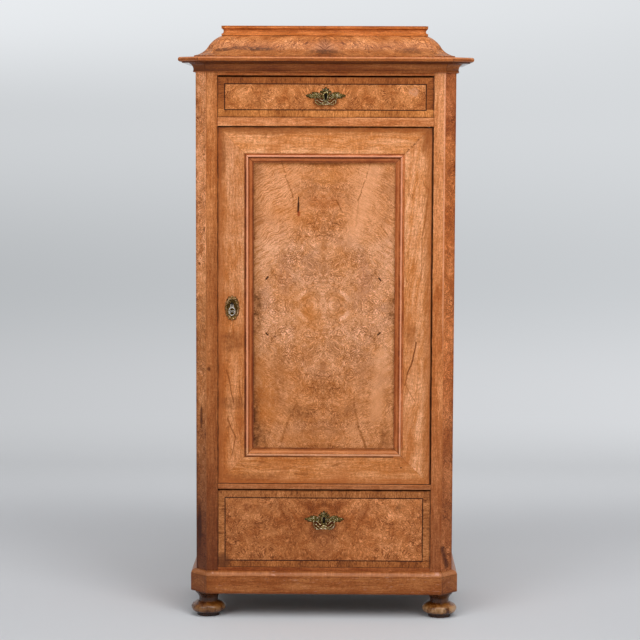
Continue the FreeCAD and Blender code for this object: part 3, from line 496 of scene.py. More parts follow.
def rail_wood(x, y, z):
    """Level rails between the posts: plain grain, darker low down, with painted shade on the frieze and a
    painted highlight on the waist rail.
    """
    colour, pores = straight_grain(x, z, 11.0, "walnut")
    colour = lay(
        colour,
        ("walnut_dark", patches(x * 0.7, 5.0, z * 4.0, 14.0, 0.55, 0.7) * 0.4),
        # painted shade on the frieze, under the cornice
        (None, 1.0 - z.step(1.757, 1.762) * 0.18),
        ((0.66, 0.66, 0.72), z.below(0.5)),
        ((0.85, 0.82, 0.80), z.below(0.2)),
        ((1.10, 1.22, 1.36), z.inside(1.59, 1.63, 0.001)),
        ((1.02, 1.14, 1.27), z.inside(0.40, 0.47, 0.001)),
        # painted highlight along the top edge of the waist rail
        ("walnut_light", z.band(0.4380, 0.0018) * 0.5),
        worm_holes(x, z, 8.0))
    return colour, pores * 0.1 + 0.42, pores


FRAME_SPOTS = (
    (-0.303, 0.905, 0.05, 0.045, 0.55), (-0.30, 0.705, 0.06, 0.028, 0.5), (0.285, 0.93, 0.035, 0.045, 0.35),
    (0.325, 1.545, 0.028, 0.05, 0.5), (-0.333, 1.50, 0.018, 0.10, 0.6), (-0.20, 1.582, 0.14, 0.016, 0.4),
    (-0.24, 0.462, 0.12, 0.018, 0.45))
# both ends, width and strength
FRAME_CRACKS = (
    (0.330, 1.40, 0.312, 1.24, 0.004, 0.32), (0.312, 1.24, 0.306, 1.10, 0.004, 0.3),
    (0.294, 0.905, 0.284, 0.845, 0.0034, 0.7), (0.284, 0.845, 0.266, 0.80, 0.0034, 0.65),
    (0.266, 0.80, 0.259, 0.765, 0.0025, 0.5), (0.262, 0.768, 0.292, 0.715, 0.0022, 0.35),
    (-0.317, 0.812, -0.306, 0.77, 0.003, 0.45), (-0.306, 0.77, -0.294, 0.70, 0.0028, 0.5),
    (-0.316, 0.655, -0.286, 0.592, 0.0026, 0.5), (-0.286, 0.592, -0.297, 0.535, 0.0026, 0.45),
    (-0.276, 0.78, -0.268, 0.70, 0.003, 0.35))


def frame_wood(x, y, z):
    """Door frame: rippled walnut veneer mitred at the corners, with dark wandering veins and clouds, painted
    shadow under the rail above and in the hinge-side gap, and painted shade in the keyhole.
    """
    level, beyond_x, beyond_z = mitre(x, z, SIGHT_X, SIGHT_Z)
    upright = 1.0 - level
    along, across = either(level, x, z), either(level, z + 3.0, x)
    colour, pores = straight_grain(along, across - z * x.above(0.0) * upright * 0.12, 21.0, "veneer")
    sway = drawn(along, across, 31.0, 9.0, 5.0, 3.0)
    veins = noise(point(along * 3.2, across * 15.0 + sway * 1.2, 33.0), 1.0, 3.0, 0.5)
    thin = scribble(veins, 7.0, 0.07) * drawn(along, across, 37.0, 4.4, 9.0, 2.0).step(0.5, 0.66)
    rough = patches(x, 43.0, z, 60.0, 0.36, 0.62, 3.0, 0.65)
    seam = beyond_x - beyond_z
    wide_seam = seam.band(0.0, 0.010) * beyond_x.inside(0.004, 0.048, 0.004) * x.above(0.0) * z.above(1.0)
    rim = (x - DOOR_X[0]).low(DOOR_X[1] - x).low((z - DOOR_Z[0]).low(DOOR_Z[1] - z))
    edge = rim.step(0.0065, 0.0) * patches(x, 47.0, z, 22.0, 0.35, 0.65)
    lock_side = x.below(-0.1) * upright
    eye = (ESCUTCHEON[0], ESCUTCHEON[1] - 0.001)
    colour = lay(
        colour,
        ("grain_line", thin * 0.5),
        ("walnut_dark", patches(x * 1.6, 41.0, z, 6.0, 0.46, 0.7, 4.0, 0.6) * 0.5),
        *spots(x, z, rough * 0.6 + 0.4, "smoke", FRAME_SPOTS),
        ("dirt", seam.band(0.0, 0.0012) * beyond_x.above(-0.001) * (0.15 + rough * 0.45)),
        ("smoke", wide_seam * patches(x, 44.0, z, 150.0, 0.45, 0.6, 3.0, 0.7) * 0.9),
        *cracks(x + (sway - 0.5) * 0.018, z, 1.35, "grain_line", FRAME_CRACKS),
        ("dirt", blot(x, z, (0.249, 0.496), (0.0035, 0.003))),
        ((1.15, 1.21, 1.30), x.above(0.1) * upright),
        ((1.14, 1.18, 1.22), z.above(1.5) * level),
        (None, 1.0 - x.inside(0.317, 0.345, 0.006) * upright * 0.22),
        (None, 1.0 - x.step(-0.318, -0.338) * 0.22),
        ((0.92, 0.89, 0.91), lock_side * z.step(1.1, 0.8)),
        ((0.96, 1.0, 1.10), lock_side * z.step(0.9, 1.1)),
        ("walnut_dark", rim.step(0.032, 0.0) * 0.6),
        ("dirt", edge * (0.6 - z.below(0.46) * 0.42)),
        # painted shadow along the top of the door, under the rail above it
        (None, 1.0 - z.step(DOOR_Z[1] - 0.034, DOOR_Z[1]) * 0.42),
        # painted shadow in the gap beside the hinge stile
        ("dirt", (x - DOOR_X[1]).step(-0.0036, -0.0016) * 0.7),
        ("dirt", beyond_x.high(beyond_z).step(0.0026, 0.0) * rough * 0.35),
        worm_holes(x, z, 50.0),
        # painted shade: near-black in the keyhole, on the wood behind the escutcheon
        ("shaded_hollow", blot(x, z, eye, (0.010, 0.0175)) * 2.0))
    return colour, pores * 0.1 + 0.40, pores


PANEL_MIDDLE = (-0.0047, 1.0209)
# centre, half sizes, strength and tint
PANEL_SPOTS = (
    (-0.002, 1.235, 0.014, 0.040, 0.5, "6b3f24"), (-0.004, 1.16, 0.020, 0.055, 0.35, "7a4a2c"),
    (-0.005, 0.82, 0.016, 0.045, 0.45, "6b4430"), (-0.005, 0.75, 0.055, 0.022, 0.4, "70401f"),
    (-0.080, 0.675, 0.062, 0.030, 0.55, "5e3a22"), (0.070, 0.675, 0.045, 0.025, 0.35, "70452a"),
    (-0.005, 1.355, 0.075, 0.035, 0.35, "a04f24"), (0.0, 1.43, 0.05, 0.03, 0.3, "b86a2c"),
    (-0.13, 1.12, 0.03, 0.09, 0.4, "805038"), (0.125, 1.10, 0.03, 0.09, 0.35, "8a5a42"),
    (-0.15, 0.80, 0.030, 0.12, 0.4, "7a4424"), (-0.19, 0.72, 0.05, 0.12, 0.4, "a0500f"),
    (0.0, 1.49, 0.20, 0.022, 0.45, "7d4a28"), (-0.06, 0.58, 0.10, 0.05, 0.3, "7d4420"))
PANEL_VEINS = (
    (-0.141, 1.481, -0.104, 1.372, 0.0035, 0.45), (0.145, 1.482, 0.107, 1.363, 0.0035, 0.5),
    (-0.104, 1.372, -0.098, 1.29, 0.004, 0.2), (0.107, 1.363, 0.098, 1.28, 0.004, 0.2),
    (-0.089, 0.705, -0.122, 0.639, 0.005, 0.3), (-0.122, 0.639, -0.146, 0.555, 0.006, 0.4),
    (0.092, 0.725, 0.111, 0.627, 0.005, 0.35), (0.111, 0.627, 0.136, 0.557, 0.006, 0.5),
    (0.034, 1.365, 0.055, 1.325, 0.0035, 0.6), (0.055, 1.325, 0.066, 1.318, 0.003, 0.5),
    (0.178, 1.285, 0.224, 1.215, 0.0028, 0.5), (-0.106, 1.27, -0.03, 1.20, 0.005, 0.3))
PANEL_CRACKS = (
    (-0.190, 1.107, -0.184, 1.115, 0.0042, 1.0), (0.173, 1.112, 0.179, 1.105, 0.0040, 1.0),
    (-0.190, 0.932, -0.184, 0.926, 0.0040, 1.0), (0.171, 0.928, 0.179, 0.935, 0.0040, 1.0),
    (-0.0865, 1.372, -0.0862, 1.352, 0.0030, 1.0), (-0.0862, 1.352, -0.0875, 1.325, 0.0052, 1.0))
PANEL_SMOKE = (
    (-0.222, 1.007, 0.026, 0.085, 0.85), (0.220, 1.003, 0.020, 0.08, 0.8), (-0.226, 0.61, 0.020, 0.16, 0.75),
    (-0.205, 0.600, 0.035, 0.055, 0.7), (0.195, 0.60, 0.022, 0.06, 0.6), (0.196, 1.40, 0.030, 0.075, 0.35))


def panel_wood(x, y, z):
    """Door panel: one burl figure opened four ways, with slanted curl, seams, cracks and dark eyes, and
    painted shade beside the moulding.
    """
    off_x, off_z = x - PANEL_MIDDLE[0], z - PANEL_MIDDLE[1]
    twist = (noise(point(x, 60.0, z), 9.0, 4.0, 0.6) - 0.5) * 0.03
    u, w = (off_x + twist).abs(), (off_z - twist).abs()
    colour, lumps = burl(u, w, 61.0, "panel", 1.0, 0.92)
    slant = u * 0.56 + w * 0.83
    run = w * 0.56 - u * 0.83
    wave = drawn(run, slant, 63.0, 16.0, 9.0, 3.0) * 0.03
    curl = drawn(run, slant + wave, 64.0, 22.0, 225.0, 3.0, 0.6)
    grit = noise(point(x, 65.0, z), 230.0, 3.0, 0.7)
    curled = lay(tint(tone("panel_dark"), tone("panel_light"), curl.step(0.32, 0.56)),
                 ("grain_line", (curl - 0.42).abs().step(0.035, 0.005) * 0.6), (None, swing(grit, 2.0)))
    left = off_x.below(0.0)
    reach = (w - (0.345 - u * 1.45)).step(-0.04, 0.10) * u.step(0.02, 0.12)
    colour = tint(colour, curled, reach * either(off_z.above(0.0), either(left, 0.66, 0.46), 0.3))
    calm = segment(x, z, (0.155, 1.46), (0.085, 1.24), 0.045)
    calm = calm.high(segment(x, z, (0.185, 0.86), (0.165, 0.66), 0.032))
    crinkle = patches(x, 70.0, z, 110.0, 0.38, 0.6, 3.0, 0.65)
    wavy = x + (noise(point(x, 72.0, z), 45.0, 3.0, 0.6) - 0.5) * 0.016
    broken = patches(x, 73.0, z, 75.0, 0.34, 0.52, 2.0)
    ragged = patches(x, 71.0, z, 60.0, 0.36, 0.66, 4.0, 0.7)
    from_left, from_foot, from_head = x - PANEL_X[0], z - PANEL_Z[0], PANEL_Z[1] - z
    corner = from_left.low(PANEL_X[1] - x).low(from_foot.low(from_head)).step(0.010, 0.0)
    colour = lay(
        colour,
        ("panel_light", calm * 0.5),
        ("936445", patches(x, 66.0, z, 12.0, 0.48, 0.7, 4.0, 0.6) * 0.35),
        ("a8571f", patches(x, 68.0, z, 7.0, 0.45, 0.68, 4.0, 0.6) * either(left, 0.36, 0.2)),
        *spots(x, z, crinkle * 0.7 + 0.3, None, PANEL_SPOTS),
        *cracks(wavy, z, broken * 1.2, "grain_line", PANEL_VEINS),
        *cracks(x, z, 1.0, "dirt", PANEL_CRACKS),
        ("7a2412", blot(x, z, (-0.0855, 1.318), (0.006, 0.012)) * (crinkle * 0.6 + 0.3)),
        *spots(x, z, ragged, "smoke", PANEL_SMOKE),
        ("6c1e0e", blot(x, z, (-0.229, 1.239), (0.004, 0.008)) * 0.8),
        ((1.24, 1.33, 1.26), z.step(0.70, 0.95)),
        ((1.18, 1.18, 1.00), z.step(0.95, 0.70)),
        ((0.965, 0.91, 0.85), z.step(1.20, 1.30)),
        ((1.045, 1.07, 1.07), z.inside(0.85, 1.25, 0.05)),
        ((0.94, 0.945, 0.975), z.step(0.90, 0.80)),
        # painted shade along the left edge, beside the moulding
        (None, 1.0 - from_left.step(0.042, 0.006) * 0.32),
        # dirt and painted shade in the corner beside the moulding, weaker along the foot
        ("dirt", corner * (1.0 - from_foot.below(0.010) * 0.7) * (0.2 + ragged * 0.4)),
        # painted shadow of the moulding along the top
        (None, 1.0 - from_head.step(0.016, 0.0) * 0.28),
        worm_holes(x, z, 75.0))
    return colour, lumps * 0.06 + 0.44, lumps


def sight_wood(x, y, z):
    """Sight moulding of the door: reddish grain along each bar, grime and painted shade in its cove and
    quirks, painted highlights on the bead and cove, and painted light on the level bars.
    """
    level, far_x, far_z = mitre(x, z, PANEL_X, PANEL_Z, 0.0003)
    upright, foot, head = 1.0 - level, z.below(PANEL_Z[0]), z.above(PANEL_Z[1]) * level
    right = x.above(PANEL_X[1])
    along, across = either(level, x, z), either(level, z, x)
    colour, pores = straight_grain(along, across * 1.3 + y, 81.0, "trim", 0.3)
    out = far_x.high(far_z) + upright * 0.0014 - foot * level * 0.0012
    worn_off = patches(x, 83.0, z, 15.0, 0.3, 0.6)
    cove = out.inside(0.0035, 0.0165, 0.002)
    rim = out.inside(0.0250, 0.0310, 0.0007) * (worn_off * 0.25 + 0.6)
    colour = lay(
        colour,
        # painted shade in the cove
        ("trim_shade", cove * 0.55),
        # painted highlight down the middle of the cove
        ("trim_light", cove * out.band(0.011, 0.003) * 0.35),
        ("dirt", out.step(0.0048, 0.002) * (worn_off * 0.25 + 0.45)),
        # painted shade in the quirk beside the bead
        ("dirt", out.band(0.0176, 0.0018) * 0.7),
        # painted shadow under the bead on the top bar
        ("dirt", out.band(0.0160, 0.0034) * head * 0.75),
        # painted shade near the panel, weaker on the bottom and right bars
        ("dirt", out.band(0.0040, 0.0026) * (0.8 - foot.high(right) * 0.55)),
        # grime in the outer groove with painted shade, weaker on the right and top bars
        ("dirt", rim * either(right.high(head), 0.25, 1.0)),
        # painted highlight on the bead
        ("rubbed", out.inside(0.0192, 0.0238, 0.001) * 0.5),
        ("dirt", (far_z - far_x).band(0.0, 0.0017) * 0.75),
        # painted light and shade: level bars lighter, coves of the upright bars darker
        (None, level * 0.08 + 1.26 - cove * upright * 0.10),
        # bottom bar lighter and cooler: painted light on its upward faces
        ((1.03, 1.17, 1.09), foot))
    return colour, pores * 0.1 + 0.34, pores


# foot, head, left and right of the burl field, and seed
LOW_FIELD = (0.190, 0.394, -0.321, 0.3187, 131.0)
TOP_FIELD = (1.6514, 1.731, -0.3215, 0.319, 151.0)
# height and slope of the field's level, contrast of the banding, and factors for red, green and blue
LOW_LOOK = {"lift": 0.98, "lean": 0.26, "bite": 1.6, "band": (1.06, 1.25, 1.55), "foot": (0.86, 0.80, 0.74),
            "field": (1.0, 1.06, 1.12)}
TOP_LOOK = {"lift": 1.31, "lean": -0.06, "bite": 1.3, "band": (0.90, 0.91, 0.97), "foot": (1.62, 1.80, 1.80),
            "field": (1.0, 1.06, 1.07)}
LOW_MARKS = (
    (-0.251, 0.364, 0.020, 0.016, 0.75, "6e3d22"), (-0.218, 0.355, 0.026, 0.022, 0.5, "8a5430"),
    (0.247, 0.364, 0.024, 0.020, 0.6, "6e4a2c"), (-0.003, 0.290, 0.07, 0.045, 0.6, "7c4526"),
    (-0.003, 0.235, 0.05, 0.05, 0.35, "8a5230"), (0.12, 0.35, 0.05, 0.02, 0.4, "8a5433"))
TOP_MARKS = (
    (0.2115, 1.6605, 0.009, 0.005, 1.0, "2f1c10"), (0.205, 1.67, 0.03, 0.018, 0.5, "7a4a28"),
    (-0.215, 1.67, 0.03, 0.02, 0.45, "7a4a28"), (0.281, 1.708, 0.02, 0.018, 0.5, "e2a06c"),
    (-0.22, 1.728, 0.10, 0.012, 0.45, "8a5028"), (-0.24, 1.690, 0.03, 0.02, 0.35, "8a5430"))


def drawer_wood(low, high, left, right, seed, up, look, marks):
    """A drawer front's finish: burl field, dark inlaid line and cross-banded border, painted shadow behind
    the grip and painted shade in the keyhole.
    """

    def build(x, y, z):
        level, beyond_x, beyond_z = mitre(x, z, (left, right), (low, high))
        beyond = beyond_x.high(beyond_z)
        along, across = either(level, z, x + 1.0), either(level, x, z)
        slip = (noise(point(x, seed, z), 9.0, 2.0) - 0.5) * 0.02
        bars = drawn(along, across + slip * 0.3, seed, 30.0, 150.0, 4.0, 0.75)
        bars = (bars - 0.5) * look["bite"] + 0.5
        wide = drawn(along, across, seed + 2.0, 4.0, 22.0, 2.0)
        grain = drawn(along, across, seed + 7.0, 120.0, 300.0, 3.0, 0.7)
        band = lay(
            tint(tone("band_dark"), tone("band_light"), (bars + wide * 0.8 - 0.40).step(0.1, 0.9)),
            ("grain_line", bars.step(0.42, 0.32) * wide.step(0.6, 0.45) * 0.7),
            (None, swing(grain, 2.0 * look["bite"])),
            (None, scatter((across * 21.0 + seed).floor()) * 0.34 + 0.75),
            (look["foot"], beyond_z.above(0.0) * (z - low).below(0.0)),
            (look["band"], z.above(0.0)))
        field, lumps = burl((x + slip * 0.4).abs(), z, seed + 5.0, "burl", 1.0, 0.95)
        field = lay(
            field,
            ((1.12, 1.16, 1.20), patches(x, seed + 6.0, z * 1.3, 14.0, 0.44, 0.62, 4.0, 0.65)),
            (None, x.step(0.0, 0.12) * look["lean"] + look["lift"]),
            (look["field"], z.above(0.0)),
            *spots(x, z, patches(x, seed + 9.0, z, 60.0, 0.36, 0.56, 3.0, 0.65), None, marks))
        worn_off = patches(x, seed + 3.0, z, 45.0, 0.25, 0.4, 2.0)
        line = beyond.inside(-0.0004, 0.0030, 0.0004)
        stained = blot(x, z, (left - 0.008, low - 0.004), (0.030, 0.034)) * z.below(1.0)
        colour = lay(
            tint(field, band, beyond.step(0.0, 0.0003)),
            ("stringing", line * (0.78 + worn_off * 0.2)),
            ("dirt", beyond.step(0.020, 0.0235) * patches(x, seed + 4.0, z, 26.0, 0.3, 0.6) * 0.55),
            worm_holes(x, z, seed + 1.0),
            ("smoke", stained * worn_off * 0.8),
            # painted shadow of the grip on the wood behind it, with grime round the brass
            *spots(x, z, 0.8, "dirt", [(aside, up - 0.019, 0.028, 0.020, 1.0) for aside in (-0.017, 0.017)]),
            # painted shade: near-black in the keyhole
            ("shaded_hollow", blot(x, z, (0.0, up - 0.004), (0.010, 0.018)) * 2.0))
        return colour, lumps * 0.06 + 0.40, lumps

    return build


def trim_wood(x, y, z):
    """Mouldings round the case: grain runs along each length and turns with it at the corners, with painted
    shade in the cove and under the cornice board and painted highlights on the cornice nose and plinth
    slope.
    """
    along = turned_corner(x, y)
    reach = (x.abs() - HALF).high(FRONT - y).high(0.0)
    across = z + reach * 0.8
    colour, pores = straight_grain(along, across, 91.0, "walnut", 0.35)
    scrape = patches(along, 97.0, across * 8.0, 26.0, 0.60, 0.68, 3.0, 0.7)
    joint = (x.abs() - FLAT - reach * 0.414).band(0.0, 0.0019) * (FRONT + 0.002 - y).above(0.0)
    # the cove under the cornice, where painted shade is laid
    shaded_hollow = z.inside(1.7715, 1.797, 0.002)
    colour = lay(
        colour,
        (None, 1.0 - z.step(0.30, 0.12) * 0.2),
        ("walnut_dark", patches(along, 93.0, across * 3.0, 9.0, 0.52, 0.7, 4.0, 0.65) * 0.5),
        ("d9a279", scrape * z.step(0.2, 0.15) * 0.45),
        ("dirt", patches(along, 98.0, across, 30.0, 0.6, 0.7, 3.0, 0.7) * 0.4),
        ("dirt", joint * 0.8),
        ((0.80, 0.78, 0.74), z.above(1.0)),
        ((0.73, 0.81, 0.88), z.below(1.0)),
        # painted highlight along the top of the cornice nose
        ("rubbed", z.inside(1.8120, 1.8166, 0.0008) * 0.28),
        # painted highlight on the plinth slope, broken by scrapes
        ("rubbed", z.inside(0.1405, 0.1505, 0.002) * (scrape * 0.3 + 0.22)),
        ("dirt", z.band(0.1375, 0.0022) * 0.35),
        ("dirt", z.step(0.090, 0.083) * 0.45),
        # painted shadow under the cornice board, on the top of the cove
        ("dirt", z.inside(1.7955, 1.8035, 0.0015) * 0.75),
        # the cove darker towards the left end
        (None, 1.0 - shaded_hollow * x.step(0.0, -0.20) * 0.26),
        # painted shade on the lower part of the cornice nose
        ("dirt", z.inside(1.8075, 1.8125, 0.001) * 0.3),
        # painted shade in the cove, deepest at its foot
        (None, 1.0 - shaded_hollow * (0.10 + z.step(1.787, 1.775) * 0.42)),
        ("smoke", shaded_hollow * x.step(-0.30, -0.42) * 0.55),
        (None, 1.0 - x.step(-0.33, -0.40) * z.below(1.0) * 0.34))
    underside = z.below(1.7995) * z.above(1.7975)
    return colour, either(underside, 0.08, pores * 0.1 + 0.38), pores


HIP_SPOTS = (
    (-0.365, 1.841, 0.035, 0.007, 0.8), (-0.25, 1.843, 0.060, 0.0075, 0.85),
    (-0.31, 1.848, 0.07, 0.008, 0.6), (-0.005, 1.836, 0.105, 0.012, 0.85),
    (-0.030, 1.885, 0.085, 0.0040, 1.0), (0.15, 1.886, 0.03, 0.003, 0.6),
    (-0.235, 1.885, 0.03, 0.0035, 0.7), (0.30, 1.838, 0.05, 0.012, 0.6))


def hip_wood(x, y, z):
    """Hipped top: burl veneer with a feathered figure in the middle and smoky patches, painted lighter on
    its upper slope.
    """
    along = turned_corner(x, y)
    u = (along + 0.0045).abs()
    reach = (HALF - x.abs()).low(y - FRONT)
    colour, lumps = burl(u, z * 1.4 + reach * 0.4, 101.0, "burl", 0.85, 1.1)
    rays = (u * 0.8 + 0.05) / (z - 1.800) * 12.0 + noise(point(u, 104.0, z), 60.0, 3.0, 0.6) * 3.0
    fan = noise(point(rays, 103.0, z * 8.0), 1.0, 2.0)
    middle = u.step(0.10, 0.05) * z.step(1.830, 1.838)
    colour = lay(
        colour,
        # painted light: the upper slope lighter than the lower
        (None, z.step(1.835, 1.868) * 0.42 + 1.02),
        ((1.0, 1.10, 1.18), z.above(0.0)),
        ("panel_light", middle * 0.5),
        ("grain_line", (fan - 0.5).abs().step(0.09, 0.02) * middle * 0.9),
        *spots(along, z, patches(x, 105.0, z * 2.0, 70.0, 0.36, 0.50, 3.0, 0.7), "432f20", HIP_SPOTS),
        # a darker band along the base strip, in the grain-line colour
        ("grain_line", z.step(1.826, 1.818) * 0.4))
    return colour, lumps * 0.06 + 0.42, lumps


def cap_wood(x, y, z):
    """Moulded cap: straight grain, darker on the top edge, with painted shade under its fillet."""
    along = turned_corner(x, y)
    colour, pores = straight_grain(along, z * 1.5 + y * 0.3, 111.0, "cap", 0.3)
    colour = lay(
        colour,
        # painted shade under the fillet, and a darker top edge
        (None, 1.02 - z.inside(1.9035, 1.911, 0.001) * 0.22 - z.step(1.9150, 1.9165) * 0.34),
        ((0.96, 1.05, 1.20), z.above(0.0)),
        ("dirt", patches(along, 113.0, z * 4.0, 24.0, 0.6, 0.72, 3.0, 0.7) * 0.35))
    return colour, pores * 0.1 + 0.40, pores


def side_wood(x, y, z):
    """Outer sides: broad plain walnut with a slow upright figure."""
    colour, pores = straight_grain(z, y, 121.0, "walnut", 0.35)
    off = y - 0.03
    arch = off * off * 9.0 + z * 0.18 + noise(point(y * 3.0, z, 4.0), 2.0, 2.0) * 0.12
    colour = lay(
        colour,
        ("walnut_dark", scribble(arch, 9.0, 0.3) * 0.35),
        ("6a3a20", patches(y, 123.0, z, 17.0, 0.6, 0.7, 4.0, 0.7) * 0.3),
        (None, z.step(0.0, 0.5) * 0.12 + 0.84))
    return colour, pores * 0.1 + 0.44, pores


def turned_wood(x, y, z):
    """Bun feet: turned rings, painted shade low down and under the collar mixed with grime, a painted
    highlight on the shoulder, and the right feet painted lighter than the left.
    """
    right = x.above(0.0)
    rings = noise(point(z * 260.0, 5.0, x.sign()), 1.0, 2.0)
    figure = noise(point(x * 40.0, y * 40.0, z * 12.0), 1.0, 4.0, 0.65)
    wear_and_highlight = z.inside(0.020, 0.036, 0.006) * figure.step(0.35, 0.6)
    grime = noise(point(x, y, z), 45.0, 4.0, 0.7)
    colour = lay(
        tint(paint("4a2a12"), paint("a86c34"), (figure * 1.6 + rings * 0.5 - 0.6).step(0.1, 0.85)),
        # painted highlight on the shoulder, stronger on the right feet
        ("e0a866", wear_and_highlight * either(right, 0.75, 0.4)),
        # painted shade under the ball, mixed with grime
        ("1e1109", (z.step(0.020, 0.012) * 0.85 + grime.step(0.5, 0.64) * 0.55).low(0.94)),
        # painted shade on the neck and collar, under the plinth
        ("1e1109", z.step(0.044, 0.052) * 0.7),
        # turned rings, and the right feet painted lighter than the left
        (None, rings * 0.5 + either(right, 0.62, 0.34)),
        ((0.92, 1.02, 1.15), z.above(-1.0)))
    return colour, figure * 0.12 + 0.22, rings * 0.4 - grime * 0.3


def inner_wood(axis):
    """Aged softwood for what is inside: pale bands along one axis, knots and dust, and painted shade low
    down.
    """

    def build(x, y, z):
        along, across, third = {"x": (x, y, z), "y": (y, z, x), "z": (z, x, y)}[axis]
        sway = noise(point(along * 1.4, across * 4.0, third * 2.0), 1.0, 2.0) * 0.05
        rings = noise(point(along * 0.9, (across + sway) * 46.0, third * 20.0), 1.0, 3.0, 0.6)
        fibre = noise(point(along * 12.0, across * 300.0, third * 60.0), 1.0, 2.0)
        knots = cells(point(along * 2.0, across * 6.0, third), 1.6).step(0.14, 0.05)
        colour = lay(
            tint(tone("pine_light"), tone("pine_dark"), rings.step(0.42, 0.62) * 0.8 + fibre * 0.2),
            ("6b4426", knots * 0.8),
            ("6f5a44", noise(point(x, y, z), 12.0, 4.0, 0.65).step(0.5, 0.72) * 0.35),
            (None, scatter((x / BOARD).floor() + 9.0) * 0.16 + 0.92),
            # painted shade: near-black low down, where the underside of the case lies in shadow
            ("2e2a26", z.step(0.30, 0.12) * 0.85))
        return colour, fibre * 0.2 + 0.55, rings * 0.5 + fibre * 0.3

    return build


def brass_skin(base, hue=(1.0, 1.0, 1.0)):
    """Cast brass fixed on a front whose depth is given: dark hollows, plain faces, and worn crests painted
    near-white as a highlight.
    """

    def build(x, y, z):
        rise = (base - y).step(0.0008, 0.0048)
        cloud = noise(point(x, y, z), 330.0, 3.0, 0.6)
        # fine noise for wear and for the painted highlight on the crests
        wear_and_highlight = noise(point(x, y, z), 700.0, 2.0, 0.6)
        amount = rise * 0.55 + (cloud - 0.5) * 3.2 + (wear_and_highlight - 0.5) * 1.2 - 0.02
        colour = lay(
            tint(tone("brass_dark"), tone("brass_light"), amount.step(0.0, 0.75)),
            # worn crests painted near-white: wear and a painted highlight
            ("brass_wear_and_highlight", amount.step(0.62, 1.0) * 0.9),
            ("5c4a26", cloud.step(0.52, 0.44) * 0.35),
            (hue, rise.above(-1.0)))
        return colour, 0.50 - rise * 0.22, wear_and_highlight * 0.5 + cloud * 0.6

    return build


def iron_skin(x, y, z):
    """Lock and hinge iron: brown-grey with rust and file marks."""
    rust = noise(point(x, y, z), 160.0, 4.0, 0.65)
    file = noise(point(x * 60.0, y * 60.0, z * 900.0), 1.0, 2.0)
    colour = shade(tint(tone("iron"), paint("6b3a20"), rust.step(0.5, 0.7) * 0.7), file * 0.4 + 0.8)
    return colour, rust * 0.4 + 0.35, file * 0.4 + rust * 0.5


def bow_skin(x, y, z):
    """Rubbed brass of the key's bow, brighter than the plates because it is handled."""
    cloud = noise(point(x, y, z), 300.0, 4.0, 0.65)
    colour = tint(paint("6a5f45"), paint("f2e9dc"), cloud.step(0.36, 0.56))
    return colour, cloud * 0.3 + 0.2, cloud


# ---------------------------------------------------------------- surfaces


def turns(count):
    """Evenly spaced angles round a circle, the last one short of a full turn."""
    return np.linspace(0, 2 * np.pi, count, endpoint=False)


def loft(rows, ring=False):
    """Points and faces of a closed skin over sections: rows[section, corner] holds x, y, z.

    Each section is a closed loop. A ring joins its last section to its first, and otherwise
    both ends are capped with a flat face.
    """
    count, across = rows.shape[:2]
    index = np.arange(count * across).reshape(count, across)
    after = np.roll(index, -1, axis=1)
    quads = np.stack((index, after, np.roll(after, -1, axis=0), np.roll(index, -1, axis=0)), axis=-1)
    if ring:
        faces = quads.reshape(-1, 4).tolist()
    else:
        faces = quads[:-1].reshape(-1, 4).tolist() + [index[0][::-1].tolist(), index[-1].tolist()]
    return rows.reshape(-1, 3), faces


def bar(path, radius, sides=10, ring=False):
    """A round bar: about each point of the path a circle square to it, with a radius for each point."""
    if ring:
        along = np.roll(path, -1, axis=0) - np.roll(path, 1, axis=0)
    else:
        along = np.gradient(path, axis=0)
    along = along / np.linalg.norm(along, axis=1, keepdims=True)
    aside = np.cross(along, (0.0, 1.0, 0.0))
    aside = aside / np.linalg.norm(aside, axis=1, keepdims=True)
    other = np.cross(aside, along)
    turn = turns(sides)[None, :, None]
    wide = np.broadcast_to(np.asarray(radius, float), (len(path),))[:, None, None]
    circle = np.cos(turn) * aside[:, None, :] + np.sin(turn) * other[:, None, :]
    return loft(path[:, None, :] + circle * wide, ring)


